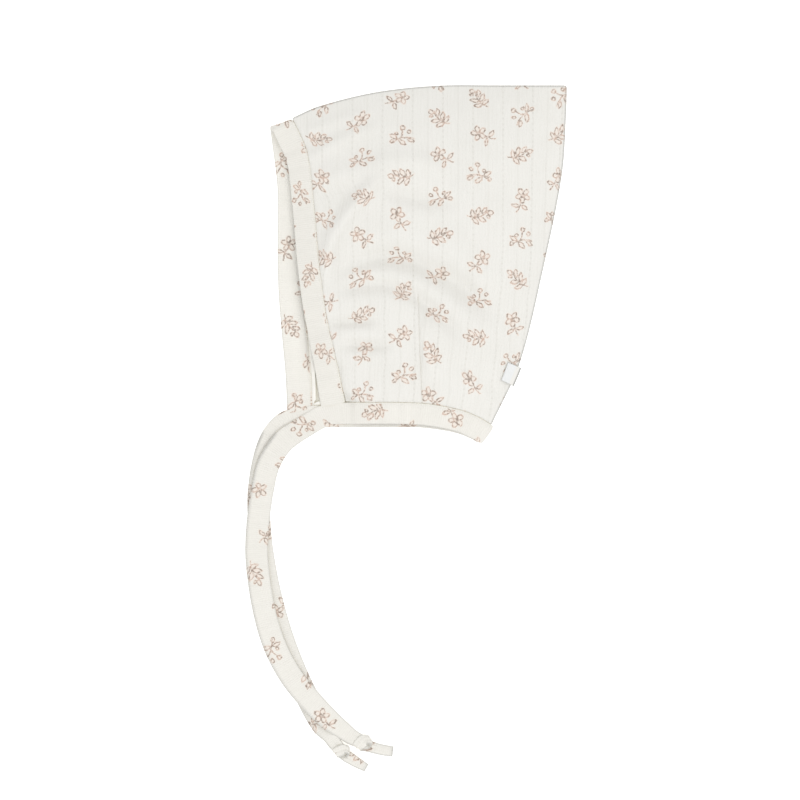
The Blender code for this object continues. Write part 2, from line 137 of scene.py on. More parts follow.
# %% Sizes in metres
DEPTH = 0.148               # from the face to the crown's tip
HEIGHT = 0.178              # from the nape to the crown
LOFT = 0.021                # height of the upper side's middle in the model
SEAM_HEIGHT = 0.0038        # height of the seams in which the two sides meet
FRONT_BAND_WIDTH = 0.0125
NECK_BAND_WIDTH = 0.0106
BAND_WALL = 0.0020          # thickness of a folded band
FRONT_DROOP = 0.0070        # how far the front band's fold hangs below its seam on the upper side
NECK_DROOP = 0.0025         # the same for the neck band
CROWN_REACH = 0.056         # how far from the crown seam the upper side goes on rising
BACK_REACH = 0.050          # the same from the back seam
UNDER_REACH = 0.014         # how far from its seams the lower side lies clear of the table
SETTLED = 0.81              # how much of its loft the thin cloth keeps, as it sinks in on itself
PLAN = np.array((DEPTH, HEIGHT))

# %% Outlines of the two sides
CROWN_SEAM = (
    (-0.432, 0.397), (-0.340, 0.430), (-0.150, 0.469), (0.059, 0.4875), (0.270, 0.4885), (0.495, 0.4885),
)
BACK_SEAM = (
    (0.240, -0.4635), (0.3355, -0.291), (0.4155, -0.0225), (0.478, 0.239), (0.4925, 0.411), (0.495, 0.4885),
)
UPPER = {
    "crown": CROWN_SEAM,
    "back": BACK_SEAM,
    "neck": ((-0.253, -0.4005), (0.003, -0.403), (0.132, -0.421), (0.198, -0.4425), (0.240, -0.4635)),
    "front": (
        (-0.253, -0.4005), (-0.277, -0.302), (-0.299, -0.223), (-0.322, -0.125), (-0.341, 0.0),
        (-0.357, 0.150), (-0.380, 0.297), (-0.432, 0.397),
    ),
}
UNDER = {
    "crown": CROWN_SEAM,
    "back": BACK_SEAM,
    "neck": (
        (-0.365, -0.4085), (-0.135, -0.4090), (0.003, -0.4095), (0.132, -0.425), (0.198, -0.4445),
        (0.240, -0.4635),
    ),
    "front": (
        (-0.365, -0.4085), (-0.3675, -0.320), (-0.3885, -0.1235), (-0.3945, 0.0), (-0.393, 0.132),
        (-0.398, 0.235), (-0.432, 0.397),
    ),
}
UPPER_CORNER = (-0.335, -0.4110)    # where the folds of the two bands meet, on the upper side
UNDER_CORNER = (-0.448, -0.4225)    # and on the lower side
OUTSIDE = {"crown": 1, "neck": -1, "back": -1, "front": 1}   # 1 where it lies left of an outline's run
print("The outlines have", sum(len(side[name]) for side in (UPPER, UNDER) for name in OUTSIDE), "stations")


# %% A smooth curve through points
def unit(directions):
    """The same directions, each with a length of one."""
    return directions / np.linalg.norm(directions, axis=-1)[..., None]


def way_along(points):
    """How far along a row of points each of them lies."""
    return np.concatenate(([0.0], np.cumsum(np.linalg.norm(np.diff(points, axis=0), axis=1))))


def through(points, shares, measure=None):
    """Points at shares of the way along the smooth curve through a row of points, and its directions.

    The way is measured by the first few numbers of each point, or by all of them.
    """
    points = np.asarray(points, float)
    shares = np.atleast_1d(np.asarray(shares, float))
    steps = np.maximum(np.linalg.norm(np.diff(points[:, :measure], axis=0), axis=1), 1e-9)
    runs = np.concatenate(([0.0], np.cumsum(steps)))
    goal = np.clip(shares, 0.0, 1.0) * runs[-1]
    last = len(points) - 1
    before = np.maximum(np.arange(last + 1) - 1, 0)
    after = np.minimum(np.arange(last + 1) + 1, last)
    slopes = (points[after] - points[before]) / (runs[after] - runs[before])[:, None]
    step = np.clip(np.searchsorted(runs, goal) - 1, 0, last - 1)
    t = ((goal - runs[step]) / steps[step])[:, None]
    start, end = points[step], points[step + 1]
    leave, arrive = slopes[step] * steps[step][:, None], slopes[step + 1] * steps[step][:, None]
    place = (
        start * (2 * t**3 - 3 * t**2 + 1) + leave * (t**3 - 2 * t**2 + t)
        + end * (3 * t**2 - 2 * t**3) + arrive * (t**3 - t**2)
    )
    heading = (
        (end - start) * (6 * t - 6 * t**2)
        + leave * (3 * t**2 - 4 * t + 1) + arrive * (3 * t**2 - 2 * t)
    )
    return place, heading


def edge(stations, shares):
    """Points in plan on one of the outlines."""
    return through(np.array(stations) * PLAN, shares)[0]


def outward(side, name, shares):
    """Level directions square to one of a side's outlines, away from the side."""
    heading = through(np.array(side[name]) * PLAN, shares)[1]
    turn = OUTSIDE[name]
    return unit(np.stack((-heading[:, 1] * turn, heading[:, 0] * turn), axis=1))


crown_run = edge(CROWN_SEAM, np.linspace(0, 1, 200))
print("The crown seam is", round(way_along(crown_run)[-1] * 1000), "mm long")

# %% [markdown]
# ## Making a piece of cloth
# A sheet could be a grid that is bent with a lattice, or sculpted. Here it is a grid whose points are
# worked out, because the same rule then gives the folds, the seams and the lie of the print. A piece may
# be several grids: they are merged where their edges meet. Solidify gives the cloth its thickness, and
# the inner face gets a second material, since print only shows on the right side.
# Besides its place on the flat cloth, each point keeps two marks for the material: how much painted shade
# lies on it along the edges, and how much painted light it gets for the light through the thin cloth above.

# %% Grids to cloth
MERGED_WITHIN = 2e-6                # metres between points that are one
SMOOTH_UNDER = math.radians(65)     # a sharper angle between two faces stays an edge


def join_grids(name, grids, flip=False):
    """One mesh from grids; each has points, their places on the flat cloth, their painted edge shade and
    painted light.
    """
    points, flats, faces = [], [], []
    marks = {"edge_shade": [], "painted_light_through": []}
    count = 0
    for places, flat, edge_shade, lit in grids:
        rows, columns = places.shape[:2]
        index = np.arange(rows * columns).reshape(rows, columns) + count
        quads = np.stack((index[:-1, :-1], index[1:, :-1], index[1:, 1:], index[:-1, 1:]), axis=-1)
        quads = quads.reshape(-1, 4)
        faces.append(quads[:, ::-1] if flip else quads)
        points.append(places.reshape(-1, 3))
        flats.append(flat.reshape(-1, 2))
        marks["edge_shade"].append(np.broadcast_to(edge_shade, (rows, columns)).ravel())
        marks["painted_light_through"].append(np.broadcast_to(lit, (rows, columns)).ravel())
        count += rows * columns
    points, flats, faces = np.concatenate(points), np.concatenate(flats), np.concatenate(faces)
    mesh = bpy.data.meshes.new(name)
    mesh.from_pydata(points.tolist(), [], faces.tolist())
    corners = np.zeros(len(mesh.loops), int)
    mesh.loops.foreach_get("vertex_index", corners)
    mesh.uv_layers.new(name="flat_cloth").data.foreach_set("uv", flats[corners].ravel())
    for mark, values in marks.items():
        mesh.attributes.new(mark, "FLOAT", "POINT").data.foreach_set("value", np.concatenate(values))
    shape = bmesh.new()
    shape.from_mesh(mesh)
    bmesh.ops.remove_doubles(shape, verts=shape.verts, dist=MERGED_WITHIN)
    shape.to_mesh(mesh)
    shape.free()
    return mesh


# %% From a mesh to a piece of cloth
def make_cloth(name, grids, thickness, materials, flip=False):
    """An object of cloth with its thickness, its right side out in the first material."""
    cloth = bpy.data.objects.new(name, join_grids(name, grids, flip))
    bpy.context.scene.collection.objects.link(cloth)
    for material in materials:
        cloth.data.materials.append(material)
    wall = cloth.modifiers.new("thickness", "SOLIDIFY")
    wall.thickness = thickness
    wall.offset = 0.0
    wall.material_offset = len(materials) - 1
    bpy.ops.object.select_all(action="DESELECT")
    cloth.select_set(True)
    bpy.context.view_layer.objects.active = cloth
    bpy.ops.object.modifier_apply(modifier=wall.name)
    bpy.ops.object.shade_smooth_by_angle(angle=SMOOTH_UNDER)
    box = np.array([v.co for v in cloth.data.vertices])
    size = (box.max(0) - box.min(0)) * 1000
    print(name, "has", len(cloth.data.polygons), "faces and is", *size.round(1), "mm")
    return cloth


def cloth_area(grids):
    """The area of the cloth in square metres, before it has a thickness."""
    total = 0.0
    for places, *_ in grids:
        one, two = places[1:, :-1] - places[:-1, :-1], places[:-1, 1:] - places[:-1, :-1]
        total += np.linalg.norm(np.cross(one, two), axis=-1).sum()
    return total


# %% [markdown]
# ## Node helpers
# A printed cloth needs many small sums in its material. Short helpers keep each of them on one line: one
# adds any node, one a sum of numbers and one a sum of vectors. Others place a drawing, soften a step, mix
# two colours and put a bump on a shader.


# %% Adding nodes in one line
def add_node(tree, kind, *values, **settings):
    """A node with its options set and its inputs wired or filled in order."""
    made = tree.nodes.new("ShaderNode" + kind)
    for name, value in settings.items():
        setattr(made, name, value)
    for socket, value in zip(made.inputs, values):
        if isinstance(value, bpy.types.NodeSocket):
            tree.links.new(value, socket)
        elif value is not None:
            socket.default_value = value
    return made


def sums(tree, operation, *values):
    """The result of a sum of numbers."""
    return add_node(tree, "Math", *values, operation=operation).outputs[0]


def vectors(tree, operation, *values):
    """The result of a sum of vectors, a number where the sum gives one."""
    made = add_node(tree, "VectorMath", *values, operation=operation)
    return made.outputs["Value" if operation in ("LENGTH", "DOT_PRODUCT", "DISTANCE") else "Vector"]


def placed(tree, vector, x, y, turn=0.0, width=1.0, height=1.0):
    """The vector as seen from a spot of the drawing, turned and shrunk to it."""
    seen = add_node(tree, "Mapping", vector, vector_type="TEXTURE")
    seen.inputs["Location"].default_value = (x, y, 0.0)
    seen.inputs["Rotation"].default_value = (0.0, 0.0, math.radians(turn))
    seen.inputs["Scale"].default_value = (width, height, 1.0)
    return seen.outputs[0]


def ramp(tree, value, low, high, at_low, at_high):
    """A smooth change from one number to another while a value goes from low to high."""
    made = add_node(tree, "MapRange", value, low, high, at_low, at_high, interpolation_type="SMOOTHSTEP")
    return made.outputs[0]


def mixed(tree, share, one, two):
    """A mix of two colours, by a share that is a number or a socket."""
    made = tree.nodes.new("ShaderNodeMix")
    made.data_type = "RGBA"
    for socket, value in ((made.inputs[0], share), (made.inputs[6], one), (made.inputs[7], two)):
        if isinstance(value, bpy.types.NodeSocket):
            tree.links.new(value, socket)
        else:
            socket.default_value = value
    return made.outputs[2]


def put_bump(tree, shader, height, strength, distance):
    """A bump on a shader, from a height."""
    bump = add_node(tree, "Bump")
    set_sockets(bump, {"Strength": strength, "Distance": distance})
    tree.links.new(height, bump.inputs["Height"])
    tree.links.new(bump.outputs["Normal"], shader.inputs["Normal"])


# %% [markdown]
# ## The print
# Little sprigs in brown-pink line are scattered over the ivory cloth. A painted image would be one way. These
# are drawn by nodes instead, so that they stay sharp at any size. Each leaf is the overlap of two circles,
# each bud an ellipse, and each stalk a piece of a parabola, and the distance to the nearest outline gives
# the pen line. Three small drawings of this bonnet's own take turns on a half-drop grid, where every
# second column is moved down by half a step. Each is turned a little, and every second one is mirrored.

# %% Three drawings in millimetres
# A leaf has its middle, its turn in degrees, and half its length and half its width.
# A bud is the same, and a stalk has its middle, its turn, half its length and how much it bows.
SPRIG_DRAWINGS = (
    {
        "stalks": ((-0.6, -0.6, 24, 5.2, 0.055),),
        "leaves": (
            (-3.7, 0.2, 108, 2.1, 0.95), (-1.3, 1.7, 80, 2.3, 1.0), (-1.7, -3.0, -38, 2.1, 0.9),
            (1.2, -1.5, -22, 2.2, 0.95), (1.7, 2.9, 62, 1.9, 0.85),
        ),
        "buds": ((4.9, 2.4, 30, 1.35, 1.0), (4.2, 0.3, -20, 0.8, 0.6)),
    },
    {
        "stalks": ((2.6, -2.4, -42, 3.4, 0.06),),
        "leaves": ((4.6, -1.1, 35, 1.9, 0.8), (1.0, -4.3, -118, 1.8, 0.75)),
        "buds": (
            (-1.2, 3.4, 90, 1.45, 1.05), (0.95, 1.85, 18, 1.45, 1.05), (0.1, -0.6, -54, 1.45, 1.05),
            (-2.5, -0.6, 234, 1.45, 1.05), (-3.35, 1.85, 162, 1.45, 1.05), (-1.2, 1.2, 0, 0.5, 0.5),
        ),
    },
    {
        "stalks": ((0.0, -0.4, -12, 5.4, -0.05), (1.2, 1.6, 58, 2.4, 0.1)),
        "leaves": ((-3.6, 1.9, 128, 2.0, 0.85), (-0.9, -2.6, -60, 2.1, 0.9), (3.4, -3.4, -48, 1.7, 0.75)),
        "buds": (
            (-5.4, -0.2, 10, 1.0, 0.85), (2.6, 4.2, 0, 1.05, 0.95), (4.6, 1.0, 20, 0.9, 0.75),
            (-1.6, 2.7, 0, 0.75, 0.7),
        ),
    },
)


def drawn(tree, spot, drawing):
    """The distance to the nearest pen line of a drawing, and the depth inside its leaves, both in mm."""
    lines, insides = [], []
    for x, y, turn, half_length, half_width in drawing["leaves"]:
        radius = (half_length**2 + half_width**2) / (2 * half_width)
        folded = vectors(tree, "ABSOLUTE", placed(tree, spot, x, y, turn))
        from_centre = vectors(tree, "LENGTH", vectors(tree, "ADD", folded, (0.0, radius - half_width, 0.0)))
        insides.append(sums(tree, "SUBTRACT", from_centre, radius))
    for x, y, turn, half_length, half_width in drawing["buds"]:
        reach = vectors(tree, "LENGTH", placed(tree, spot, x, y, turn, half_length, half_width))
        mean = math.sqrt(half_length * half_width)
        insides.append(sums(tree, "MULTIPLY_ADD", reach, mean, -mean))
    for x, y, turn, half_length, bow in drawing["stalks"]:
        parts = add_node(tree, "SeparateXYZ", placed(tree, spot, x, y, turn)).outputs
        along = sums(tree, "ABSOLUTE", parts["X"])
        bowed = sums(tree, "MULTIPLY", sums(tree, "MULTIPLY", along, along), bow)
        beside = sums(tree, "ABSOLUTE", sums(tree, "SUBTRACT", parts["Y"], bowed))
        lines.append(sums(tree, "MAXIMUM", beside, sums(tree, "SUBTRACT", along, half_length)))
    inside = insides[0]
    for other in insides[1:]:
        inside = sums(tree, "MINIMUM", inside, other)
    for shape in insides:
        lines.append(sums(tree, "ABSOLUTE", shape))
    line = lines[0]
    for other in lines[1:]:
        line = sums(tree, "MINIMUM", line, other)
    return line, inside


# %% The sprigs as a node group
GRID_WIDTH = 20.0           # mm between columns
GRID_HEIGHT = 20.5          # mm between rows
PEN_WIDTH = 0.29            # half the width of a pen line, in mm
PEN_CHANGE = 0.34           # how much that changes with the ink
PEN_SHAKE = 1.3             # mm that the pen wanders
MOST_TURN = 34.0            # degrees that a sprig is turned at most
MOST_NUDGE = 2.2            # mm across the space in which its middle may lie


def sprig_group():
    """A node group, from a place on the flat cloth in mm to how much pen line and tint is there."""
    group = bpy.data.node_groups.new("sprig_print", "ShaderNodeTree")
    group.interface.new_socket("Place", in_out="INPUT", socket_type="NodeSocketVector")
    group.interface.new_socket("Line", in_out="OUTPUT", socket_type="NodeSocketFloat")
    group.interface.new_socket("Tint", in_out="OUTPUT", socket_type="NodeSocketFloat")
    place = group.nodes.new("NodeGroupInput").outputs["Place"]
    # The column and the row of the place, and where it lies in that cell of the grid.
    parts = add_node(group, "SeparateXYZ", place).outputs
    column = sums(group, "FLOOR", sums(group, "DIVIDE", parts["X"], GRID_WIDTH))
    drop = sums(group, "MULTIPLY", sums(group, "FLOORED_MODULO", column, 2.0), GRID_HEIGHT / 2)
    dropped = sums(group, "ADD", parts["Y"], drop)
    row = sums(group, "FLOOR", sums(group, "DIVIDE", dropped, GRID_HEIGHT))
    x = sums(group, "MULTIPLY_ADD", sums(group, "ADD", column, 0.5), -GRID_WIDTH, parts["X"])
    y = sums(group, "MULTIPLY_ADD", sums(group, "ADD", row, 0.5), -GRID_HEIGHT, dropped)
    # Chance turns and moves the sprig of each cell, and every second one is mirrored.
    cell = add_node(group, "CombineXYZ", column, row, 0.0).outputs[0]
    chance = add_node(group, "TexWhiteNoise", cell, noise_dimensions="3D").outputs
    turn = sums(group, "MULTIPLY", sums(group, "SUBTRACT", chance["Value"], 0.5), math.radians(2 * MOST_TURN))
    mirrored = sums(group, "FLOORED_MODULO", sums(group, "ADD", column, row), 2.0)
    side = sums(group, "MULTIPLY_ADD", mirrored, -2.0, 1.0)
    spot = add_node(group, "CombineXYZ", sums(group, "MULTIPLY", x, side), y, 0.0).outputs[0]
    nudge = vectors(group, "SCALE", vectors(group, "SUBTRACT", chance["Color"], (0.5, 0.5, 0.5)))
    nudge.node.inputs["Scale"].default_value = MOST_NUDGE
    spot = vectors(group, "MULTIPLY", vectors(group, "ADD", spot, nudge), (1.0, 1.0, 0.0))
    turned = add_node(group, "VectorRotate", spot, rotation_type="Z_AXIS")
    group.links.new(turn, turned.inputs["Angle"])
    # The pen wanders a little.
    shaky = add_node(group, "TexNoise", place, None, 0.55, 2.0, noise_dimensions="3D").outputs["Color"]
    shake = vectors(group, "SCALE", vectors(group, "SUBTRACT", shaky, (0.5, 0.5, 0.5)))
    shake.node.inputs["Scale"].default_value = PEN_SHAKE
    spot = vectors(group, "MULTIPLY", vectors(group, "ADD", turned.outputs[0], shake), (1.0, 1.0, 0.0))
    # The drawings take turns.
    kind = sums(group, "FLOORED_MODULO", sums(group, "MULTIPLY_ADD", row, 2.0, column), 3.0)
    line, inside = drawn(group, spot, SPRIG_DRAWINGS[0])
    for number, drawing in enumerate(SPRIG_DRAWINGS[1:], start=1):
        next_line, next_inside = drawn(group, spot, drawing)
        chosen = sums(group, "COMPARE", kind, float(number), 0.5)
        line = add_node(group, "Mix", chosen, None, line, next_line).outputs[0]
        inside = add_node(group, "Mix", chosen, None, inside, next_inside).outputs[0]
    # The ink runs wider and narrower, darker and paler, and a pale tint fills the leaves.
    ink = add_node(group, "TexNoise", place, None, 0.9, 3.0, noise_dimensions="3D").outputs[0]
    width = sums(group, "MULTIPLY_ADD", ink, PEN_CHANGE, PEN_WIDTH - PEN_CHANGE / 2)
    faded = ramp(group, ink, 0.34, 0.60, 0.35, 1.0)
    pen = ramp(group, sums(group, "SUBTRACT", line, width), -0.10, 0.14, 1.0, 0.0)
    halo = ramp(group, line, 0.2, 1.0, 0.75, 0.0)
    tint = sums(group, "MAXIMUM", ramp(group, inside, -0.5, 0.4, 0.8, 0.0), halo)
    out = group.nodes.new("NodeGroupOutput")
    group.links.new(sums(group, "MULTIPLY", pen, faded), out.inputs["Line"])
    group.links.new(tint, out.inputs["Tint"])
    return group


SPRIGS = sprig_group()
print("The print has", len(SPRIGS.nodes), "nodes")

# %% [markdown]
# ## The jersey
# The cloth is a fine knit with a narrow rib every 7.5 mm. On every second rib runs a column of tiny eyelets.
# At the size of the picture the knit hardly shows, but from close by its small V-shaped loops catch the
# light. The loops, the ribs and the eyelets are a bump; the eyelets and ribs also get a trace of painted
# shade, and soft fibres give the cloth a little sheen. The wrong side shows the loops' backs and no print.

# %% Colours of cloth and ink
IVORY = (0.748, 0.736, 0.700, 1.0)
CREAM = (0.760, 0.741, 0.694, 1.0)
WRONG_SIDE = (0.780, 0.762, 0.705, 1.0)
KNIT_SHADE_AND_MOTTLE = (0.40, 0.385, 0.31, 1.0)           # what the painted shade of the ribs and eyelets, and the cloth's random mottle, are mixed towards
PAINTED_CREASE_LIGHT = (0.86, 0.80, 0.63, 1.0)            # a warm, paler tone painted as light into creases deep between cloth
PAINTED_LIGHT_THROUGH = (0.965, 0.945, 0.880, 1.0)    # a paler, warmer tone painted as the light that comes through the thin cloth above
PAINTED_EDGE_SHADE = (0.27, 0.27, 0.255, 1.0)             # the painted shade along edges and cut ends
DARK_INK = (0.215, 0.150, 0.115, 1.0)
PALE_INK = (0.500, 0.345, 0.270, 1.0)
INK_TINT = (0.780, 0.645, 0.550, 1.0)
print("The print has", len(SPRIG_DRAWINGS), "drawings in two inks")

# %% Height of the knit
RIB_STEP = 7.5              # mm between the wide ribs
FINE_RIBS = 4               # narrow ribs for each wide one
BINDING_RIB = 1.05          # mm between the ribs of the binding
EYELET_STEP = 2.9           # mm between the eyelets of a column
WALE = 0.95                 # mm across one column of loops
COURSE = 0.72               # mm up one row of loops


def knit(tree, along, across, wide_ribs):
    """The loops, ribs and eyelets of the knit, each from nought to one, from two places in mm."""
    columns = sums(tree, "DIVIDE", across, WALE)
    within = sums(tree, "ABSOLUTE", sums(tree, "SUBTRACT", sums(tree, "FRACT", columns), 0.5))
    slanted = sums(tree, "MULTIPLY_ADD", within, -1.1, sums(tree, "DIVIDE", along, COURSE))
    loop = sums(tree, "SINE", sums(tree, "MULTIPLY", slanted, 2 * math.pi))
    crest = sums(tree, "MULTIPLY_ADD", loop, 0.35, 0.65)
    loops = sums(tree, "MULTIPLY", crest, ramp(tree, within, 0.25, 0.5, 1.0, 0.0))
    if not wide_ribs:
        beat = sums(tree, "SINE", sums(tree, "MULTIPLY", across, 2 * math.pi / BINDING_RIB))
        return loops, ramp(tree, beat, 0.0, 1.0, 0.0, 0.75), None
    fine = sums(tree, "SINE", sums(tree, "MULTIPLY", across, 2 * math.pi / (RIB_STEP / FINE_RIBS)))
    ribs = sums(tree, "DIVIDE", across, RIB_STEP)
    from_rib = sums(tree, "ABSOLUTE", sums(tree, "SUBTRACT", sums(tree, "FRACT", ribs), 0.5))
    beside = sums(tree, "MULTIPLY", from_rib, RIB_STEP)
    wide = ramp(tree, beside, 0.15, 0.70, 1.0, 0.0)
    rib = sums(tree, "MAXIMUM", wide, ramp(tree, fine, 0.2, 1.0, 0.0, 0.32))
    eyelet_column = sums(tree, "FLOORED_MODULO", sums(tree, "FLOOR", ribs), 2.0)
    beat = sums(tree, "SINE", sums(tree, "MULTIPLY", along, 2 * math.pi / EYELET_STEP))
    hole = sums(tree, "MULTIPLY", eyelet_column, ramp(tree, beat, 0.1, 0.8, 0.0, 1.0))
    return loops, rib, sums(tree, "MULTIPLY", hole, ramp(tree, beside, 0.2, 0.55, 1.0, 0.0))


# %% The jersey's material
PAINTED_LIGHT_SHARE = 0.85            # how far cloth fully lit through takes the painted light's tone
CREASE_LIGHT_SHARE = 0.55         # how far the most closed-in crease takes the painted crease light
OCCLUSION_REACH = 0.006        # metres within which other cloth counts for the painted crease light
TINT_SHARE = 0.50           # strength of the tint in the leaves
INK_SHARE = 0.80            # strength of the pen line
KNIT_RELIEF = 0.00018       # metres of the knit's height


def jersey(name, base, printed, wide_ribs):
    """A knitted cloth; its UV map gives each point's place on the flat cloth in millimetres."""
    material, tree, shader = new_material(name)
    flat = add_node(tree, "UVMap", uv_map="flat_cloth").outputs["UV"]
    parts = add_node(tree, "SeparateXYZ", flat).outputs
    loops, rib, hole = knit(tree, parts["Y"], parts["X"], wide_ribs)
    # Streaks along the wales, a fine grain and broad clouds keep the ivory from being flat.
    stretched = vectors(tree, "MULTIPLY", flat, (1.3, 0.10, 1.0) if wide_ribs else (1.3, 0.16, 1.0))
    streaks = add_node(tree, "TexNoise", stretched, None, 1.0, 2.0).outputs[0]
    grain = add_node(tree, "TexNoise", flat, None, 1.5, 2.0).outputs[0]
    cloudy = add_node(tree, "TexNoise", flat, None, 0.055, 3.0).outputs[0]
    # The ribs and, below, the eyelets get painted shade, summed with that uneven tone.
    groove_shade_and_mottle = sums(tree, "MULTIPLY", rib, 0.070)
    uneven = ((streaks, 0.35, 0.70, 0.045), (grain, 0.40, 0.72, 0.050), (cloudy, 0.35, 0.7, 0.035))
    for value, low, high, most in uneven:
        groove_shade_and_mottle = sums(tree, "ADD", groove_shade_and_mottle, ramp(tree, value, low, high, 0.0, most))
    if hole:
        groove_shade_and_mottle = sums(tree, "MULTIPLY_ADD", hole, 0.07, groove_shade_and_mottle)
    colour = mixed(tree, groove_shade_and_mottle, base, KNIT_SHADE_AND_MOTTLE)
    # The light that comes through other cloth is painted in, warmer and paler. The print goes over that.
    lit = add_node(tree, "Attribute", attribute_name="painted_light_through").outputs["Fac"]
    colour = mixed(tree, sums(tree, "MULTIPLY", lit, PAINTED_LIGHT_SHARE), colour, PAINTED_LIGHT_THROUGH)
    if printed:
        sprigs = tree.nodes.new("ShaderNodeGroup")
        sprigs.node_tree = SPRIGS
        tree.links.new(flat, sprigs.inputs["Place"])
        tint = sums(tree, "MULTIPLY", sprigs.outputs["Tint"], TINT_SHARE)
        colour = mixed(tree, tint, colour, INK_TINT)
        worn = add_node(tree, "TexNoise", flat, None, 0.45, 2.0).outputs[0]
        ink = mixed(tree, ramp(tree, worn, 0.40, 0.62, 0.0, 1.0), PALE_INK, DARK_INK)
        colour = mixed(tree, sums(tree, "MULTIPLY", sprigs.outputs["Line"], INK_SHARE), colour, ink)
    # Painted light: cloth closed in by other cloth is painted warmer and paler. Painted shade: edges are
    # painted grey.
    depth = add_node(tree, "AmbientOcclusion", samples=8, inside=False)
    depth.inputs["Distance"].default_value = OCCLUSION_REACH
    crease_light_share = ramp(tree, depth.outputs["AO"], 0.05, 0.70, CREASE_LIGHT_SHARE, 0.0)
    colour = mixed(tree, crease_light_share, colour, PAINTED_CREASE_LIGHT)
    # Painted shade: a dark grey along the cloth's edges and cut ends.
    edge_shade = add_node(tree, "Attribute", attribute_name="edge_shade").outputs["Fac"]
    edge_shade_share = sums(tree, "MULTIPLY", edge_shade, ramp(tree, grain, 0.3, 0.7, 0.42, 0.66))
    tree.links.new(mixed(tree, edge_shade_share, colour, PAINTED_EDGE_SHADE), shader.inputs["Base Color"])
    # The height of the loops, with their fuzz, the ribs and the eyelets.
    fuzz = add_node(tree, "TexNoise", flat, None, 2.3, 2.0).outputs[0]
    relief = sums(tree, "MULTIPLY_ADD", fuzz, 0.4, loops)
    relief = sums(tree, "MULTIPLY_ADD", rib, -1.3, relief)
    if hole:
        relief = sums(tree, "MULTIPLY_ADD", hole, -1.6, relief)
    put_bump(tree, shader, relief, 0.40, KNIT_RELIEF)
    set_sockets(shader, {
        "Roughness": 0.92, "Specular IOR Level": 0.20, "Sheen Weight": 0.04, "Sheen Roughness": 0.6,
    })
    return material


panel_cloth = jersey("printed_rib_jersey", IVORY, printed=True, wide_ribs=True)
panel_back = jersey("rib_jersey_wrong_side", WRONG_SIDE, printed=False, wide_ribs=True)
band_cloth = jersey("printed_binding", CREAM, printed=True, wide_ribs=False)
band_back = jersey("binding_wrong_side", WRONG_SIDE, printed=False, wide_ribs=False)
print("The printed jersey has", len(panel_cloth.node_tree.nodes), "nodes")

# %% [markdown]
# ## The two sides
# Each side panel is stretched between its four edges: the crown seam, the back seam, the neck and the face.
# The upper one is puffed up by the air and the cloth under it. It rises fast from the two seams, stays
# nearly level in the middle, and sinks at the open neck and at the front corner. Folds press lines into
# it, and a dart pulls a crease up from the neck. The lower one lies flat on the table, and lifts only to
# meet the seams.

# %% Where the grid's lines lie
SIDE_CLOTH = 0.0010         # thickness of the jersey as drawn
RISE_POWER = 2.3            # how steeply the upper side rises from its seams
NECK_SINK = 0.36            # shares of its rise that it loses at the neck,
FRONT_SINK = 0.28           # at the face
CORNER_SINK = 0.62          # and at the front corner
CLOSER_AT_END = 0.35        # how much closer the lines lie near the seams


def spread(count):
    """Shares from nought to one, closer together near one."""
    even = np.linspace(0.0, 1.0, count)
    return even + CLOSER_AT_END * even * (1.0 - even) * even


def laid_out(side, u, v):
    """Points in plan over a side, u from its front to its back and v from its neck to its crown."""
    front, back = edge(side["front"], v)[None], edge(side["back"], v)[None]
    neck, crown = edge(side["neck"], u)[:, None], edge(side["crown"], u)[:, None]
    u, v = u[:, None, None], v[None, :, None]
    corner = {name: np.array(side[name]) * PLAN for name in ("front", "back")}
    corners = (
        corner["front"][0] * (1 - u) * (1 - v) + corner["back"][0] * u * (1 - v)
        + corner["front"][-1] * (1 - u) * v + corner["back"][-1] * u * v
    )
    return front * (1 - u) + back * u + neck * (1 - v) + crown * v - corners


def from_seams(side, u, v):
    """Distances in plan from the crown seam and from the back seam."""
    tall = np.linalg.norm(edge(side["crown"], u) - edge(side["neck"], u), axis=1)
    deep = np.linalg.norm(edge(side["back"], v) - edge(side["front"], v), axis=1)
    return tall[:, None] * (1 - v)[None], deep[None] * (1 - u)[:, None]


def risen(distance, reach):
    """The share of its rise that the cloth has at a distance from a seam."""
    return 1.0 - np.maximum(0.0, 1.0 - distance / reach) ** RISE_POWER


def left_of(share, reach):
    """One at an edge, falling to nought at a share of the side called its reach."""
    return np.maximum(0.0, 1.0 - share / reach) ** 2


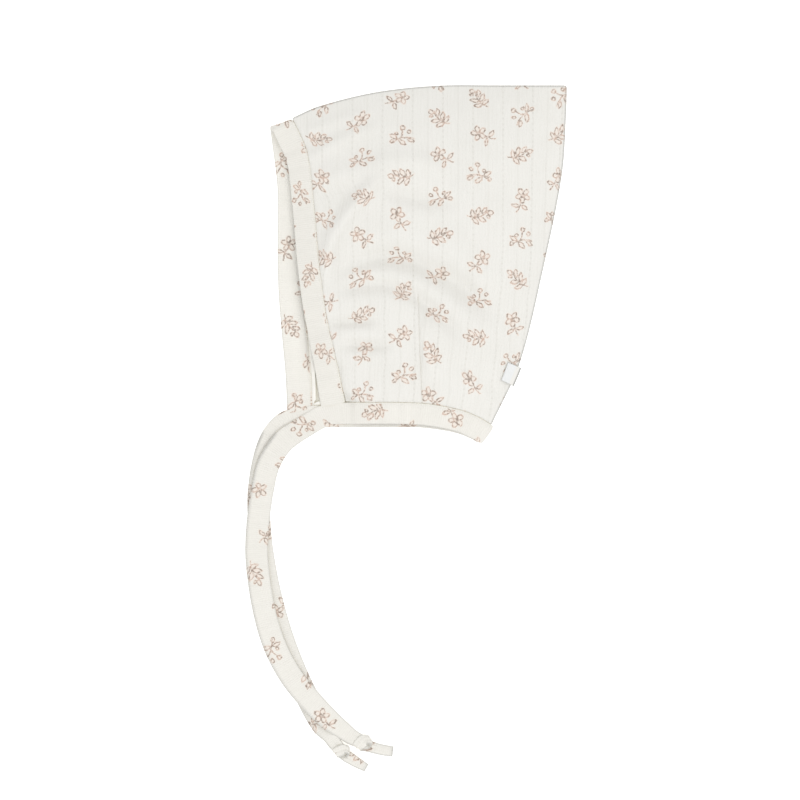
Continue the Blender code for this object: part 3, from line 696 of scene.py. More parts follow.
# %% Folds and the dart
# Each fold has its depth and its width, as shares of these two, and points in plan. A ridge's depth is
# below nought.
FOLD_DEPTH = 0.0032
FOLD_WIDTH = 0.0055
FOLDS = (
    (1.95, 1.20, (
        (-0.296, -0.051), (-0.25, -0.024), (-0.188, -0.003), (-0.086, 0.01), (0.005, -0.013),
        (0.096, -0.051), (0.187, -0.107), (0.278, -0.177),
    )),
    (1.09, 0.75, (
        (-0.285, -0.092), (-0.211, -0.075), (-0.142, -0.069), (-0.063, -0.085), (0.028, -0.13),
        (0.108, -0.192), (0.153, -0.246),
    )),
    (1.01, 0.6, ((-0.319, -0.181), (-0.245, -0.175), (-0.148, -0.173))),
    (1.01, 0.6, ((-0.273, -0.242), (-0.199, -0.238), (-0.097, -0.244))),
    (-1.7, 0.75, (
        (-0.125, 0.236), (-0.188, 0.179), (-0.256, 0.108), (-0.299, 0.052), (-0.319, -0.015),
        (-0.324, -0.062),
    )),
    (-0.8, 0.95, ((-0.381, 0.222), (-0.245, 0.238), (-0.12, 0.269), (-0.006, 0.271), (0.096, 0.241))),
    (0.87, 0.85, ((-0.131, 0.198), (-0.04, 0.173), (0.04, 0.163), (0.119, 0.16))),
    (-1.01, 0.6, ((-0.404, 0.35), (-0.302, 0.385), (-0.165, 0.416))),
    (-0.87, 0.6, ((-0.393, 0.274), (-0.313, 0.312), (-0.222, 0.35), (-0.142, 0.373))),
    (-0.87, 0.65, ((0.003, -0.156), (0.011, -0.213), (0.028, -0.279), (0.051, -0.327))),
    (0.72, 0.4, ((-0.281, -0.279), (-0.277, -0.346), (-0.25, -0.393), (-0.199, -0.414))),
    (-0.58, 0.5, ((0.131, -0.31), (0.193, -0.36), (0.256, -0.414))),
)
DART_TOP = (-0.008, -0.073)
DART_FOOT = (0.006, -0.402)
DART_DEPTH = 0.0013
DART_WIDTH = 0.0045
CREASE_DEPTH = 0.0010       # the dart's sewn line
CREASE_WIDTH = 0.00045
DENTS = 61                  # soft dents in the row that makes one fold


def fold_depth(plan):
    """How far the folds press the cloth down at points in plan: a row of soft dents along each line."""
    depth = np.zeros(plan.shape[:2])
    t = np.linspace(0.0, 1.0, DENTS)
    fade = np.minimum(1.0, 6 * t * (1 - t) + 0.10)
    for deep, wide, points in FOLDS:
        line = edge(points, t)
        step = np.linalg.norm(np.diff(line, axis=0), axis=1).mean()
        reach = wide * FOLD_WIDTH
        distance = np.linalg.norm(plan[:, :, None] - line, axis=-1)
        dents = np.exp(-((distance / reach) ** 2)) * fade
        depth += deep * FOLD_DEPTH * dents.sum(axis=-1) * step / (reach * math.sqrt(math.pi))
    return depth


def beside_dart(plan):
    """How far along the dart a point lies, from its top, and how far beside it in metres."""
    top, foot = np.array(DART_TOP) * PLAN, np.array(DART_FOOT) * PLAN
    down = (top[1] - plan[..., 1]) / (top[1] - foot[1])
    return down, plan[..., 0] - (top[0] + (foot[0] - top[0]) * down)


def dart_depth(plan):
    """How far the dart draws the cloth down: a soft hollow, and in it the sewn crease."""
    down, beside = beside_dart(plan)
    soft = np.exp(-((beside / DART_WIDTH) ** 2)) * DART_DEPTH
    crease = np.exp(-np.abs(beside) / CREASE_WIDTH) * CREASE_DEPTH
    return np.clip(down * 2, 0.0, 1.0) * soft + np.clip(down * 6, 0.0, 1.0) * crease


print("The upper side has", len(FOLDS), "folds and a dart")


# %% Small unevenness of the cloth
# Each soft wave has a direction in degrees, a length in mm, a height in mm and a start.
SOFT_WAVES = (
    (18, 41, 0.20, 0.3), (74, 33, 0.18, 1.9), (131, 27, 0.13, 4.0), (52, 19, 0.08, 2.2), (8, 13, 0.04, 1.0),
)
PUCKER = 0.00022            # height of the puckers along the seams
PUCKER_FADE = 0.006         # and how soon they fade away from them
GATHER = 0.00030            # the same for the gathers over the neck band
GATHER_FADE = 0.008


def wave(places, length, start=0.0):
    """A wave along places in metres, by its length in mm."""
    return np.sin(places * 2000 * math.pi / length + start)


def ripple(plan):
    """The height of all soft waves at points in plan."""
    height = np.zeros(plan.shape[:2])
    for direction, length, tall, start in SOFT_WAVES:
        angle = math.radians(direction)
        along = plan[..., 0] * math.cos(angle) + plan[..., 1] * math.sin(angle)
        height += tall / 1000 * wave(along, length, start)
    return height


def upper_height(plan, u, v):
    """The height of the upper side's cloth, at points in plan with their shares of the grid."""
    from_crown, from_back = from_seams(UPPER, u, v)
    rim = SEAM_HEIGHT + SIDE_CLOTH
    rise = risen(from_crown, CROWN_REACH) * risen(from_back, BACK_REACH)
    share_u, share_v = u[:, None], v[None]
    open_edges = (
        (1 - NECK_SINK * left_of(share_v, 0.5)) * (1 - FRONT_SINK * left_of(share_u, 0.25))
        * (1 - CORNER_SINK * left_of(share_u, 0.38) * left_of(share_v, 0.32))
    )
    from_neck = share_v * HEIGHT * 0.85
    puckers = PUCKER * np.exp(-from_crown / PUCKER_FADE) * wave(plan[..., 0], 7.3)
    puckers += PUCKER * np.exp(-from_back / PUCKER_FADE) * wave(plan[..., 1], 8.1)
    gathers = GATHER * np.exp(-from_neck / GATHER_FADE) * wave(plan[..., 0], 8.7)
    pressed = (fold_depth(plan) + dart_depth(plan) - ripple(plan)) * rise
    dome = (LOFT - rim) * SETTLED * rise * open_edges
    return rim + dome - pressed + (puckers + gathers) * np.minimum(1.0, rise * 3)


# %% The cloth's own measure, for the print
def unrolled(places):
    """A grid's places on the flat cloth in mm: its plan, with what its slopes add to its length."""
    plan = places[..., :2]
    flat = plan.copy()
    for axis in (0, 1):
        step = np.diff(places, axis=axis)
        extra = np.linalg.norm(step, axis=-1) - np.linalg.norm(step[..., :2], axis=-1)
        run = np.cumsum(extra, axis=axis)
        middle = run.shape[axis] // 2
        run = np.insert(run, 0, 0.0, axis=axis)
        run = run - np.take(run, [middle], axis=axis)
        flat[..., axis] += run
    return flat * 1000


# %% Rolled edges
# From the edge of a panel the cloth rolls over and turns in, as it does at a seam that is sewn on the
# wrong side. Each row is how far out and how far through the seam, in mm.
ROLL = ((0.28, 0.10), (0.44, 0.38), (0.38, 0.72), (0.10, 0.94), (-0.6, 1.02), (-1.8, 1.04), (-3.6, 1.06))
# The shade painted on each of the roll's rows, from the grid's edge in.
ROLL_EDGE_SHADE = np.array((0.35, 0.9, 1.0, 1.0, 0.8, 0.4, 0.2, 0.0))[:, None]
ROLLED_OUT = 0.00092        # how far the roll and half the cloth stand out past the edge of the grid
DRAWN_IN = 0.005            # how soon the grid's own points follow its edge inwards
SEAM_ROLL = 0.55            # how deep the roll goes at the two seams, for its depth at the bands
HEM_AT_CORNER = 0.55        # how far the hem goes in near a corner, for the way to the corner
LEAST_HEM = 0.00005
BAND_SHARE = 0.15           # how much of the painted edge shade is left where a band covers the edge
GRID_EDGE_SHADE = 0.10            # painted edge shade of the grid's outermost points at the bands
GRID_SEAM_EDGE_SHADE = 0.35       # and at the two seams


def pulled_in(side, plan, u, v):
    """Points in plan, drawn in near the edges, so that each rolled edge ends on its outline."""
    tall = np.linalg.norm(edge(side["crown"], u) - edge(side["neck"], u), axis=1)[:, None]
    deep = np.linalg.norm(edge(side["back"], v) - edge(side["front"], v), axis=1)[None]
    moved = plan.copy()
    for name, shares, distance in (
        ("crown", u, tall * (1 - v)[None]), ("neck", u, tall * v[None]),
        ("back", v, deep * (1 - u)[:, None]), ("front", v, deep * u[:, None]),
    ):
        out = outward(side, name, shares)
        out = out[:, None] if name in ("crown", "neck") else out[None]
        moved -= out * (ROLLED_OUT * np.exp(-distance / DRAWN_IN))[..., None]
    return moved


# %% The strip over the roll
def round_edge(grid):
    """What a grid holds along its four edges, once round."""
    return np.concatenate((grid[:-1, 0], grid[-1, :-1], grid[:0:-1, -1], grid[0, :0:-1]))


def rolled_edge(places, flat, way, lit, hem=1.0):
    """A strip that goes on from all four edges of a grid, over the roll and back in under the hem.

    The way is 1 where the cloth rolls up, and -1 where it rolls down.
    """
    depth = np.full(places.shape[:2], 1.0)
    depth[-1, :] = SEAM_ROLL
    depth[:, -1] = SEAM_ROLL
    loop, loop_flat, shift = round_edge(places), round_edge(flat), round_edge(depth * way)
    heading = unit((np.roll(loop, -1, axis=0) - np.roll(loop, 1, axis=0))[:, :2])
    out = np.stack((heading[:, 1], -heading[:, 0]), axis=1)
    rows, columns = places.shape[:2]
    corners = np.cumsum([0, rows - 1, columns - 1, rows - 1])
    run = way_along(loop[:, :2])
    whole = run[-1] + np.linalg.norm(loop[0, :2] - loop[-1, :2])
    gap = np.abs(run[:, None] - run[corners][None])
    from_corner = np.minimum(gap, whole - gap).min(axis=1)
    strip, strip_flat = [loop], [loop_flat]
    for beyond, through_seam in ROLL:
        furthest = from_corner * HEM_AT_CORNER + LEAST_HEM
        reach = max(beyond, 0.0) / 1000 - np.minimum(-min(beyond, 0.0) / 1000 * hem, furthest)
        row = loop.copy()
        row[:, :2] += out * reach[:, None]
        row[:, 2] += through_seam / 1000 * shift
        strip.append(row)
        strip_flat.append(loop_flat + out * through_seam)
    strip, strip_flat = np.array(strip), np.array(strip_flat)
    closed = np.concatenate((strip, strip[:, :1]), axis=1)
    # Painted shade along the roll, less where a band covers it.
    edge_shade = ROLL_EDGE_SHADE * np.where(np.abs(np.append(shift, shift[0])) > 0.9, BAND_SHARE, 1.0)
    return closed, np.concatenate((strip_flat, strip_flat[:, :1]), axis=1), edge_shade, lit


def edge_shade_over_grid(shape):
    """Painted edge shade over a grid: a little on its outermost points, and less of it where a band is sewn
    on.
    """
    edge_shade = np.zeros(shape)
    edge_shade[0] = GRID_EDGE_SHADE
    edge_shade[-1] = GRID_SEAM_EDGE_SHADE
    edge_shade[:, 0] = GRID_EDGE_SHADE
    edge_shade[:, -1] = GRID_SEAM_EDGE_SHADE
    return edge_shade


# %% Upper side
SHEAR = 0.085               # how far the cloth behind the dart has swung, for its way below the dart's top
near_dart = np.linspace(0.425, 0.545, 46)       # closer lines, for the sewn crease
u, v = spread(146), spread(184)
u = np.sort(np.concatenate((u[(u < near_dart[0] - 0.002) | (u > near_dart[-1] + 0.002)], near_dart)))
upper_plan = laid_out(UPPER, u, v)
upper_rise = upper_height(upper_plan, u, v)
upper_plan = pulled_in(UPPER, upper_plan, u, v)
upper_places = np.concatenate((upper_plan, upper_rise[..., None]), axis=-1)
upper_flat = unrolled(upper_places)
down, beside = beside_dart(upper_plan)
swing = np.clip(down, 0.0, 1.2) * (DART_TOP[1] - DART_FOOT[1]) * HEIGHT * SHEAR * 1000
upper_flat[..., 0] += np.where(beside > 0, swing, 0.0)
upper_grids = [
    (upper_places, upper_flat, edge_shade_over_grid(upper_rise.shape), 0.0),
    rolled_edge(upper_places, upper_flat, -1, 0.0),
]
upper_side = make_cloth("upper_side_cloth", upper_grids, SIDE_CLOTH, (panel_cloth, panel_back))
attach(upper_side, "root")
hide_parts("upper_side")
print("Its cloth measures", round(cloth_area(upper_grids) * 1e4, 1), "square cm")


# %% Lower side
def under_lift(u, v):
    """A share from nought, flat on the table, to one at the seams."""
    lifts = [np.maximum(0.0, 1.0 - distance / UNDER_REACH) ** 2 for distance in from_seams(UNDER, u, v)]
    return np.maximum(*lifts)


PRINT_SHIFT = (7.0, 4.0)    # mm that its print lies off the upper side's
u, v = spread(110), spread(130)
under_plan = laid_out(UNDER, u, v)
resting = SIDE_CLOTH / 2
under_rim = SEAM_HEIGHT - SIDE_CLOTH
lift = under_lift(u, v)
uneven = np.maximum(0.0, ripple(under_plan)) * 0.9
under_height = resting + (under_rim - resting) * lift + uneven * (1 - lift)
under_plan = pulled_in(UNDER, under_plan, u, v)
under_places = np.concatenate((under_plan, under_height[..., None]), axis=-1)
under_flat = unrolled(under_places) * (-1, 1) + PRINT_SHIFT
under_lit = np.clip((v - 0.05) / 0.25, 0, 1)[None]      # the painted light fades out at the neck, where no light comes in
under_grids = [
    (under_places, under_flat, edge_shade_over_grid(under_height.shape), under_lit),
    rolled_edge(under_places, under_flat, 1, 0.5, hem=0.3),
]
lower_side = make_cloth("lower_side_cloth", under_grids, SIDE_CLOTH, (panel_cloth, panel_back), flip=True)
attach(lower_side, "root")
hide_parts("lower_side")
print("Its cloth measures", round(cloth_area(under_grids) * 1e4, 1), "square cm")

# %% [markdown]
# ## The bands and the ties
# Two strips of jersey bind the bonnet's open edges. Each is folded along its length and sewn on, so that its
# fold is the free edge. The short one goes round the face. The long one goes round the neck and runs on past
# the front corners as the two ties, where it is closed along one side. So it is one piece of cloth here too.
# A flat strip with a bevel would be quicker, but the two layers with the round fold between them are what
# makes a band look soft. The section is drawn once, as a path from the seam over the outer layer, round
# the fold and back, and is carried along rows of points for the sewn edge and for the fold.

# %% The rows that the bands follow
TURNED_SHARE = 0.88         # how much of its width a band keeps at its turn over the crown or the nape
CORNER_DROOP_SHARE = 0.45   # how much of the front band's droop is left at its corner
BAND_LIFT_SHARE = 0.55      # how much of the lower side's lift its bands follow
TURN_BULGE_SHARE = 0.35     # how far the neck band stands out at the nape, for its thickness
CROWN_TURN_IN = np.array((-0.0003, -0.0011))     # from the end of the crown seam to the band's turn there
CROWN_TURN = np.array((-0.0103, -0.0054))        # across the band at that turn
CORNER_CUT = np.array((0.43, -0.90)) / math.hypot(0.43, -0.90)
TUCKED_UNDER = 0.0016       # how far the lower front band's end goes under the neck band
SEAM_INSET = 0.0003         # how far the band's seam lies outside the panel's edge


def raised(plan, height):
    """Points in plan with their heights."""
    plan = np.atleast_2d(plan)
    return np.concatenate((plan, np.broadcast_to(np.reshape(height, (-1, 1)), (len(plan), 1))), axis=1)


def edge_of_upper(which, shares):
    """Points on the upper side's front or neck edge."""
    none = np.zeros(1)
    u, v = (none, shares) if which == "front" else (shares, none)
    plan = laid_out(UPPER, u, v)
    return raised(plan.reshape(-1, 2), upper_height(plan, u, v).reshape(-1))


def under_seam(which, shares):
    """A band's sewn edge on the lower side's front or neck edge, and the way out from it."""
    none = np.zeros(1)
    u, v = (none, shares) if which == "front" else (shares, none)
    out = outward(UNDER, which, shares)
    lift = under_lift(u, v).reshape(-1) * BAND_LIFT_SHARE
    height = BAND_WALL / 2 + (SEAM_HEIGHT - BAND_WALL / 2) * lift
    return raised(edge(UNDER[which], shares) + out * SEAM_INSET, height), out


def upper_seam(which, shares):
    """The same on the upper side."""
    out = outward(UPPER, which, shares)
    start = edge_of_upper(which, shares)
    start[:, :2] += out * SEAM_INSET
    return start, out


def turned_in(v):
    """The front band's width at a share of the way up, less where it turns over the crown."""
    return 1 - (1 - TURNED_SHARE) * left_of(1 - v, 0.25)


# %% The front band's rows
def front_rows():
    """The front band's sewn edge and its fold: up the upper side, over the crown, down the lower side."""
    corner = edge_of_upper("front", np.zeros(1))[0]
    v = np.array((
        0.0, 0.04, 0.08, 0.12, 0.17, 0.22, 0.27, 0.33, 0.38, 0.44, 0.50, 0.56, 0.62, 0.68, 0.73, 0.78, 0.82,
        0.86, 0.89, 0.92, 0.945, 0.965, 0.982,
    ))
    start, out = upper_seam("front", v)
    at_corner = 1 - (1 - CORNER_DROOP_SHARE) * left_of(v, 0.3)
    droop = FRONT_DROOP * at_corner * (1 - left_of(1 - v, 0.22))
    reach = np.sqrt((FRONT_BAND_WIDTH * turned_in(v)) ** 2 - droop**2)
    fold = start.copy()
    fold[:, :2] += out * reach[:, None]
    fold[:, 2] -= droop
    fold[0] = raised(np.array(UPPER_CORNER) * PLAN, corner[2] - FRONT_DROOP * CORNER_DROOP_SHARE)[0]
    sewn, folded = [start], [fold]
    top = np.array(CROWN_SEAM[0]) * PLAN + CROWN_TURN_IN
    sewn.append(raised(top, SEAM_HEIGHT))
    folded.append(raised(top + CROWN_TURN, SEAM_HEIGHT))
    v = np.array((0.982, 0.965, 0.945, 0.92, 0.89, 0.85, 0.80, 0.74, 0.68, 0.55, 0.40, 0.26, 0.12, 0.0))
    start, out = under_seam("front", v)
    fold = start + raised(out * (FRONT_BAND_WIDTH * turned_in(v))[:, None], 0.0)
    fold[-1] = raised(np.array(UNDER_CORNER) * PLAN, BAND_WALL / 2)[0]
    start[-1, 1] -= TUCKED_UNDER
    fold[-1, 1] -= TUCKED_UNDER
    sewn.append(start)
    folded.append(fold)
    return np.concatenate(sewn), np.concatenate(folded)


# %% The neck band's rows
def neck_rows():
    """The neck band's sewn edge and its fold: from the lower front corner, round the nape, to the upper."""
    corner_height = edge_of_upper("front", np.zeros(1))[0, 2] - FRONT_DROOP * CORNER_DROOP_SHARE
    corner = raised(np.array(UPPER_CORNER) * PLAN, corner_height)
    sewn = [corner]
    folded = [corner + raised(CORNER_CUT * NECK_BAND_WIDTH, -NECK_DROOP * 0.4)]
    u = np.array((
        0.0, 0.04, 0.08, 0.13, 0.18, 0.24, 0.30, 0.36, 0.42, 0.48, 0.54, 0.60, 0.66, 0.72, 0.77, 0.82, 0.86,
        0.90, 0.93, 0.955, 0.975,
    ))
    start, out = upper_seam("neck", u)
    droop = NECK_DROOP * (1 - left_of(1 - u, 0.3)) * (1 - 0.5 * left_of(u, 0.2))
    fold = start.copy()
    fold[:, :2] += out * np.sqrt(NECK_BAND_WIDTH**2 - droop**2)[:, None]
    fold[:, 2] -= droop
    sewn.append(start)
    folded.append(fold)
    back_out = outward(UPPER, "back", np.zeros(1))[0]
    down_seam = -unit(through(np.array(BACK_SEAM) * PLAN, np.zeros(1))[1])[0]
    turn = np.array(BACK_SEAM[0]) * PLAN + down_seam * SEAM_INSET + back_out * BAND_WALL * TURN_BULGE_SHARE
    sewn.append(raised(turn, SEAM_HEIGHT))
    folded.append(raised(turn + down_seam * NECK_BAND_WIDTH * TURNED_SHARE + (-0.0021, 0.0002), SEAM_HEIGHT))
    u = np.array((0.975, 0.955, 0.93, 0.90, 0.86, 0.80, 0.74, 0.67, 0.60, 0.45, 0.30, 0.15, 0.0))
    start, out = under_seam("neck", u)
    sewn.append(start)
    folded.append(start + raised(out * NECK_BAND_WIDTH, 0.0))
    corner = raised(np.array(UNDER_CORNER) * PLAN, BAND_WALL / 2)
    sewn.append(corner)
    folded.append(corner + raised(CORNER_CUT * NECK_BAND_WIDTH, 0.0))
    return np.concatenate(sewn)[::-1], np.concatenate(folded)[::-1]


# %% Section of the folded cloth
BAND_CLOTH = 0.0008         # thickness of one layer of the binding
LAYER = 0.55                # mm from a band's middle to the middle of each layer
# Where the section starts, in mm out from the seam and up: sewn on, butted to another band, and closed.
SEWN_START = np.array(((-0.10, -0.45), (0.05, -0.15), (0.38, 0.18), (0.95, 0.43), (1.8, 0.55)))
BUTTED_START = np.array(((-0.15, 0.50), (0.05, 0.53), (0.45, 0.55), (1.0, 0.55), (1.8, 0.55)))
CLOSED_START = np.array(((1.50, -0.05), (0.75, 0.02), (0.22, 0.10), (0.12, 0.34), (0.50, 0.52)))
FLAT_POINTS = 9
FOLD_POINTS = 9


def folded_section(width, layer, butted, closed):
    """The path of the cloth across a band, in mm: out from the seam, and up from the band's middle."""
    still_open = SEWN_START * (1 - butted) * (1 - closed) + BUTTED_START * butted * (1 - closed)
    start = (still_open + CLOSED_START * closed) * (1.0, layer / LAYER)
    flat_end = width - layer - BAND_CLOTH * 500
    share = np.linspace(0, 1, FLAT_POINTS + 2)[1:-1]
    out = start[-1, 0] + (flat_end - start[-1, 0]) * share
    flats = np.stack((out, layer + 0.16 * np.sin(math.pi * share)), axis=1)
    angle = np.linspace(math.pi / 2, -math.pi / 2, FOLD_POINTS)
    fold = np.stack((flat_end + layer * np.cos(angle), layer * np.sin(angle)), axis=1)
    outer = np.concatenate((start, flats))
    inner = outer[::-1] * (1, -1)
    inner[-1, 1] = np.minimum(inner[-1, 1], inner[-2, 1]) - 0.1
    return np.concatenate((outer, fold, inner))


# %% A folded strip as a grid
# Each puff has a length and a height in mm, a start, and how much it leans across the band.
PUFFS = ((61.0, 0.16, 0.5, 0.5), (23.0, 0.11, 1.7, -0.9), (9.5, 0.06, 0.2, 1.2))
EDGE_SHADE_REACH = 0.80               # mm from an edge over which shade is painted
END_SHADE_REACH = 0.7                # mm from a cut end over which shade is painted


def strip_cloth(rows, count, shaded_ends=0.0):
    """A folded strip as a grid of points, with its places on the flat cloth in mm, its painted edge shade and
    its length.

    A row has its sewn point and its fold in metres, then its layer in mm and four shares: how far the seam
    edge is butted, how far it is closed, how far the edges bow to the inner side, and how far it is pleated.
    """
    place, _ = through(rows, np.linspace(0.0, 1.0, count), measure=6)
    sewn, folded = place[:, :3], place[:, 3:6]
    middle = (sewn + folded) / 2
    heading = np.gradient(middle, axis=0)
    across = folded - sewn
    width = np.linalg.norm(across, axis=1) * 1000
    across = across * 1000 / width[:, None]
    normal = unit(np.cross(heading, across))
    run = way_along(middle) * 1000
    grid, flat, edge_shade = [], [], []
    for i in range(count):
        layer, butted, closed, bowed, pleated = place[i, 6:11]
        section = folded_section(width[i], layer, butted, closed)
        share = np.clip(section[:, 0] / width[i] * 2 - 1, -1, 1)
        free = 1 - share**2
        puff = 0.0
        for length, tall, begin, lean in PUFFS:
            puff = puff + tall * np.sin(2 * math.pi * run[i] / length + begin + lean * share)
        puff = puff * free * (1 - pleated)
        pleats = pleated * 0.26 * np.cos(share * 8.2 + run[i] * 0.16) * free
        bow = -bowed * width[i] / 2 * share**2
        up = section[:, 1] + np.where(section[:, 1] > 0, 1.0, 0.35) * puff + pleats + bow
        grid.append(sewn[i] + (across[i] * section[:, :1] + normal[i] * up[:, None]) / 1000)
        # Shade is painted near the band's free edges and near its cut ends.
        from_side = np.minimum(width[i] - section[:, 0], section[:, 0] + (1 - closed) * 9)
        end_shade = shaded_ends * math.exp(-min(run[i], run[-1] - run[i]) / END_SHADE_REACH)
        edge_shade.append(np.maximum(np.clip(1 - from_side / EDGE_SHADE_REACH, 0, 1), end_shade))
        flat.append(np.stack((np.full(len(section), run[i]), way_along(section)), axis=1))
    grid = np.array(grid)
    grid[..., 2] = np.maximum(grid[..., 2], BAND_CLOTH / 2)     # the table presses the lowest cloth flat
    return grid, np.array(flat), np.array(edge_shade), run


# %% Front band
FRONT_POINTS = 430
FRONT_PRINT_SHIFT = (3.0, -6.5)
sewn, folded = front_rows()
plain = np.tile((LAYER, 0.0, 0.0, 0.0, 0.0), (len(sewn), 1))
front_band_rows = np.concatenate((sewn, folded, plain), axis=1)
front_grid, front_flat, front_edge_shade, front_run = strip_cloth(front_band_rows, FRONT_POINTS)

# The lower half of the band lies under the upper side's edge; the light it gets through it is painted in.
# That painted light sets in past the crown, gets less towards the neck, and is weakest at the band's fold.
up_head = front_grid[..., 1].mean(axis=1)
past_crown = np.clip((np.arange(FRONT_POINTS) - up_head.argmax()) / 20, 0, 1)
past_crown *= np.clip(up_head / 0.080 + 0.90, 0, 1)
half_flat = front_flat[..., 1].max() / 2
from_fold = np.abs(front_flat[..., 1] - half_flat) / half_flat
front_lit = past_crown[:, None] * np.clip(0.25 + 1.3 * from_fold, 0, 1)
front_grids = [(front_grid, front_flat + FRONT_PRINT_SHIFT, front_edge_shade, front_lit)]
front_band = make_cloth("front_band_cloth", front_grids, BAND_CLOTH, (band_cloth, band_back))
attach(front_band, "root")
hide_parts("front_band")
front_width = round(np.ptp(front_flat[..., 1]))
print("The front band is", round(front_run[-1]), "mm long and", front_width, "mm wide flat")

# %% The ways of the ties
# Each is a row of places on the table in mm, with the width there. The knot follows.
UPPER_WAY = (
    (-56.9, -82.9, 11.0), (-68.3, -91.1, 11.0), (-75.3, -101.9, 11.0), (-78.3, -113.9, 11.0),
    (-80.1, -125.3, 11.0), (-81.3, -138.7, 11.0), (-81.3, -149.9, 11.0), (-78.5, -171.1, 11.0),
    (-73.3, -190.3, 11.2), (-65.3, -206.3, 11.3), (-54.3, -220.3, 11.1), (-44.9, -229.8, 10.3),
)
LOWER_WAY = (
    (-69.3, -82.8, 11.0), (-73.6, -88.4, 11.0), (-77.6, -99.0, 11.0), (-80.2, -114.6, 11.0),
    (-80.4, -126.6, 11.0), (-79.0, -144.0, 11.0), (-75.0, -166.0, 11.0), (-69.0, -187.6, 11.0),
    (-62.0, -206.0, 11.0), (-54.0, -223.0, 11.0), (-48.6, -233.0, 10.0),
)

# %% [markdown]
# ## The knots
# Near its end each tie is tied in one overhand knot. A squeezed ball would do from afar. Here the strip is
# led through the knot as the real one goes: in through the middle, back over the top, round under itself
# and out through the loop. It is drawn narrower and pleated there, and its cut end stays open.

# %% The way through a knot
# In mm: along, across and up from the knot's middle on the table, the way that the strap's first face looks,
# half the width and half the layers' gap there, and how far the edges bow.
KNOT = (
    (-9.4, 1.2, 2.6, 0, 0, 1, 4.2, 0.55, 0.04), (-6.4, 0.4, 2.4, 0, 0, 1, 3.9, 0.55, 0.08),
    (-3.4, 0.0, 2.2, 0, 0, 1, 3.6, 0.60, 0.14), (-0.2, -0.1, 2.0, 0, 0, 1, 3.2, 0.60, 0.20),
    (2.8, 0.2, 2.2, -0.7, -0.3, 0.6, 2.7, 0.50, 0.0), (3.6, 1.3, 2.7, -0.6, -0.8, 0.0, 2.3, 0.45, -0.1),
    (2.2, 2.1, 3.1, 0, -0.6, -0.8, 2.5, 0.42, -0.20), (0.6, 1.1, 3.4, 0, -0.1, -1, 3.0, 0.40, -0.22),
    (-0.6, -1.3, 3.3, 0, 0.3, -0.9, 3.2, 0.40, -0.22), (-1.2, -3.1, 2.4, 0, 1, -0.2, 3.0, 0.42, -0.20),
    (-0.8, -2.8, 1.1, 0, 0.6, 0.8, 2.8, 0.42, 0.0), (0.8, -1.4, 0.9, 0, 0, 1, 2.8, 0.42, 0.0),
    (2.8, -1.0, 1.0, 0, 0, 1, 2.9, 0.50, 0.05),
)
UPPER_TAIL = (
    (4.8, -0.8, 1.6, 2.7, 0.8, 0.15), (7.6, -0.5, 1.6, 2.6, 0.8, 0.10), (10.4, -0.1, 1.5, 2.55, 0.75, 0.05),
    (13.2, 0.5, 1.5, 2.5, 0.75, 0.0), (16.0, 1.2, 1.5, 2.4, 0.95, 0.0),
)
LOWER_TAIL = (
    (4.6, -0.4, 1.6, 3.2, 0.8, 0.10), (8.8, 0.5, 1.6, 3.0, 0.75, 0.05), (13.2, 1.5, 1.5, 2.6, 0.75, 0.0),
    (17.2, 2.6, 1.5, 2.2, 0.8, 0.0),
)


PLEATS_SET_IN = 5.0         # mm over which the strip is drawn together before the knot


def tie_rows(start_sewn, start_folded, way, rest, knot_place, turn, size, tail):
    """Rows of a tie from the neck band's end through its knot to its tail, without the band's own row."""
    start = (start_sewn + start_folded) * 500
    middles, looks, shape = [start], [(0, 0, 1)], [(0, 0, 0, 0, 0, 0)]
    for i, (x, y, wide) in enumerate(way):
        settled = min(1.0, (i + 1) / 2)
        middles.append((x, y, start[2] * (1 - settled) + rest * 1000 * settled))
        looks.append((0, 0, 1))
        shape.append((wide / 2, LAYER, 0, settled, 0, 0))
    along = np.array((math.cos(math.radians(turn)), math.sin(math.radians(turn))))
    across = np.array((-along[1], along[0]))
    for a, b, up, nx, ny, nz, wide, layer, bowed in KNOT:
        spot = knot_place + (along * a + across * b) * size
        middles.append((*spot, up * size))
        looks.append((*(along * nx + across * ny), nz))
        pleated = min(1.0, max(0.0, (a - KNOT[0][0]) / PLEATS_SET_IN))
        shape.append((wide * size, layer * size, 0, 1, bowed, pleated))
    for a, b, up, wide, layer, bowed in tail:
        spot = knot_place + (along * a + across * b) * size
        middles.append((*spot, max(up * size, layer + BAND_CLOTH * 500)))
        looks.append((0, 0, 1))
        pleated = max(0.25, 1 - (a - PLEATS_SET_IN) / 12.0)
        shape.append((wide * size, layer, 0, 1, bowed, pleated))
    middles, looks, shape = np.array(middles), np.array(looks, float), np.array(shape)
    heading = np.gradient(middles, axis=0)
    half = unit(np.cross(looks, heading)) * shape[:, :1]
    return np.concatenate(((middles - half) / 1000, (middles + half) / 1000, shape[:, 1:]), axis=1)[1:]


# %% Neck band with its two ties
LONG_POINTS = 1250
LONG_PRINT_SHIFT = (2.0, 6.0)
ON_TABLE = BAND_WALL / 2
ON_LOWER_TIE = BAND_WALL * 1.5 + 0.0003
neck_sewn, neck_folded = neck_rows()
lower_tie = tie_rows(
    neck_sewn[0], neck_folded[0], LOWER_WAY, ON_TABLE, (-39.2, -244.8), -44.0, 0.88, LOWER_TAIL,
)
upper_tie = tie_rows(
    neck_sewn[-1], neck_folded[-1], UPPER_WAY, ON_LOWER_TIE, (-28.8, -240.6), -22.0, 1.0, UPPER_TAIL,
)
neck_shape = np.tile((LAYER, 0.0, 0.0, 0.0, 0.0), (len(neck_sewn), 1))
neck_shape[:2, 1] = 1.0         # both ends are butted to the front band
neck_shape[-2:, 1] = 1.0
neck_band_rows = np.concatenate((neck_sewn, neck_folded, neck_shape), axis=1)
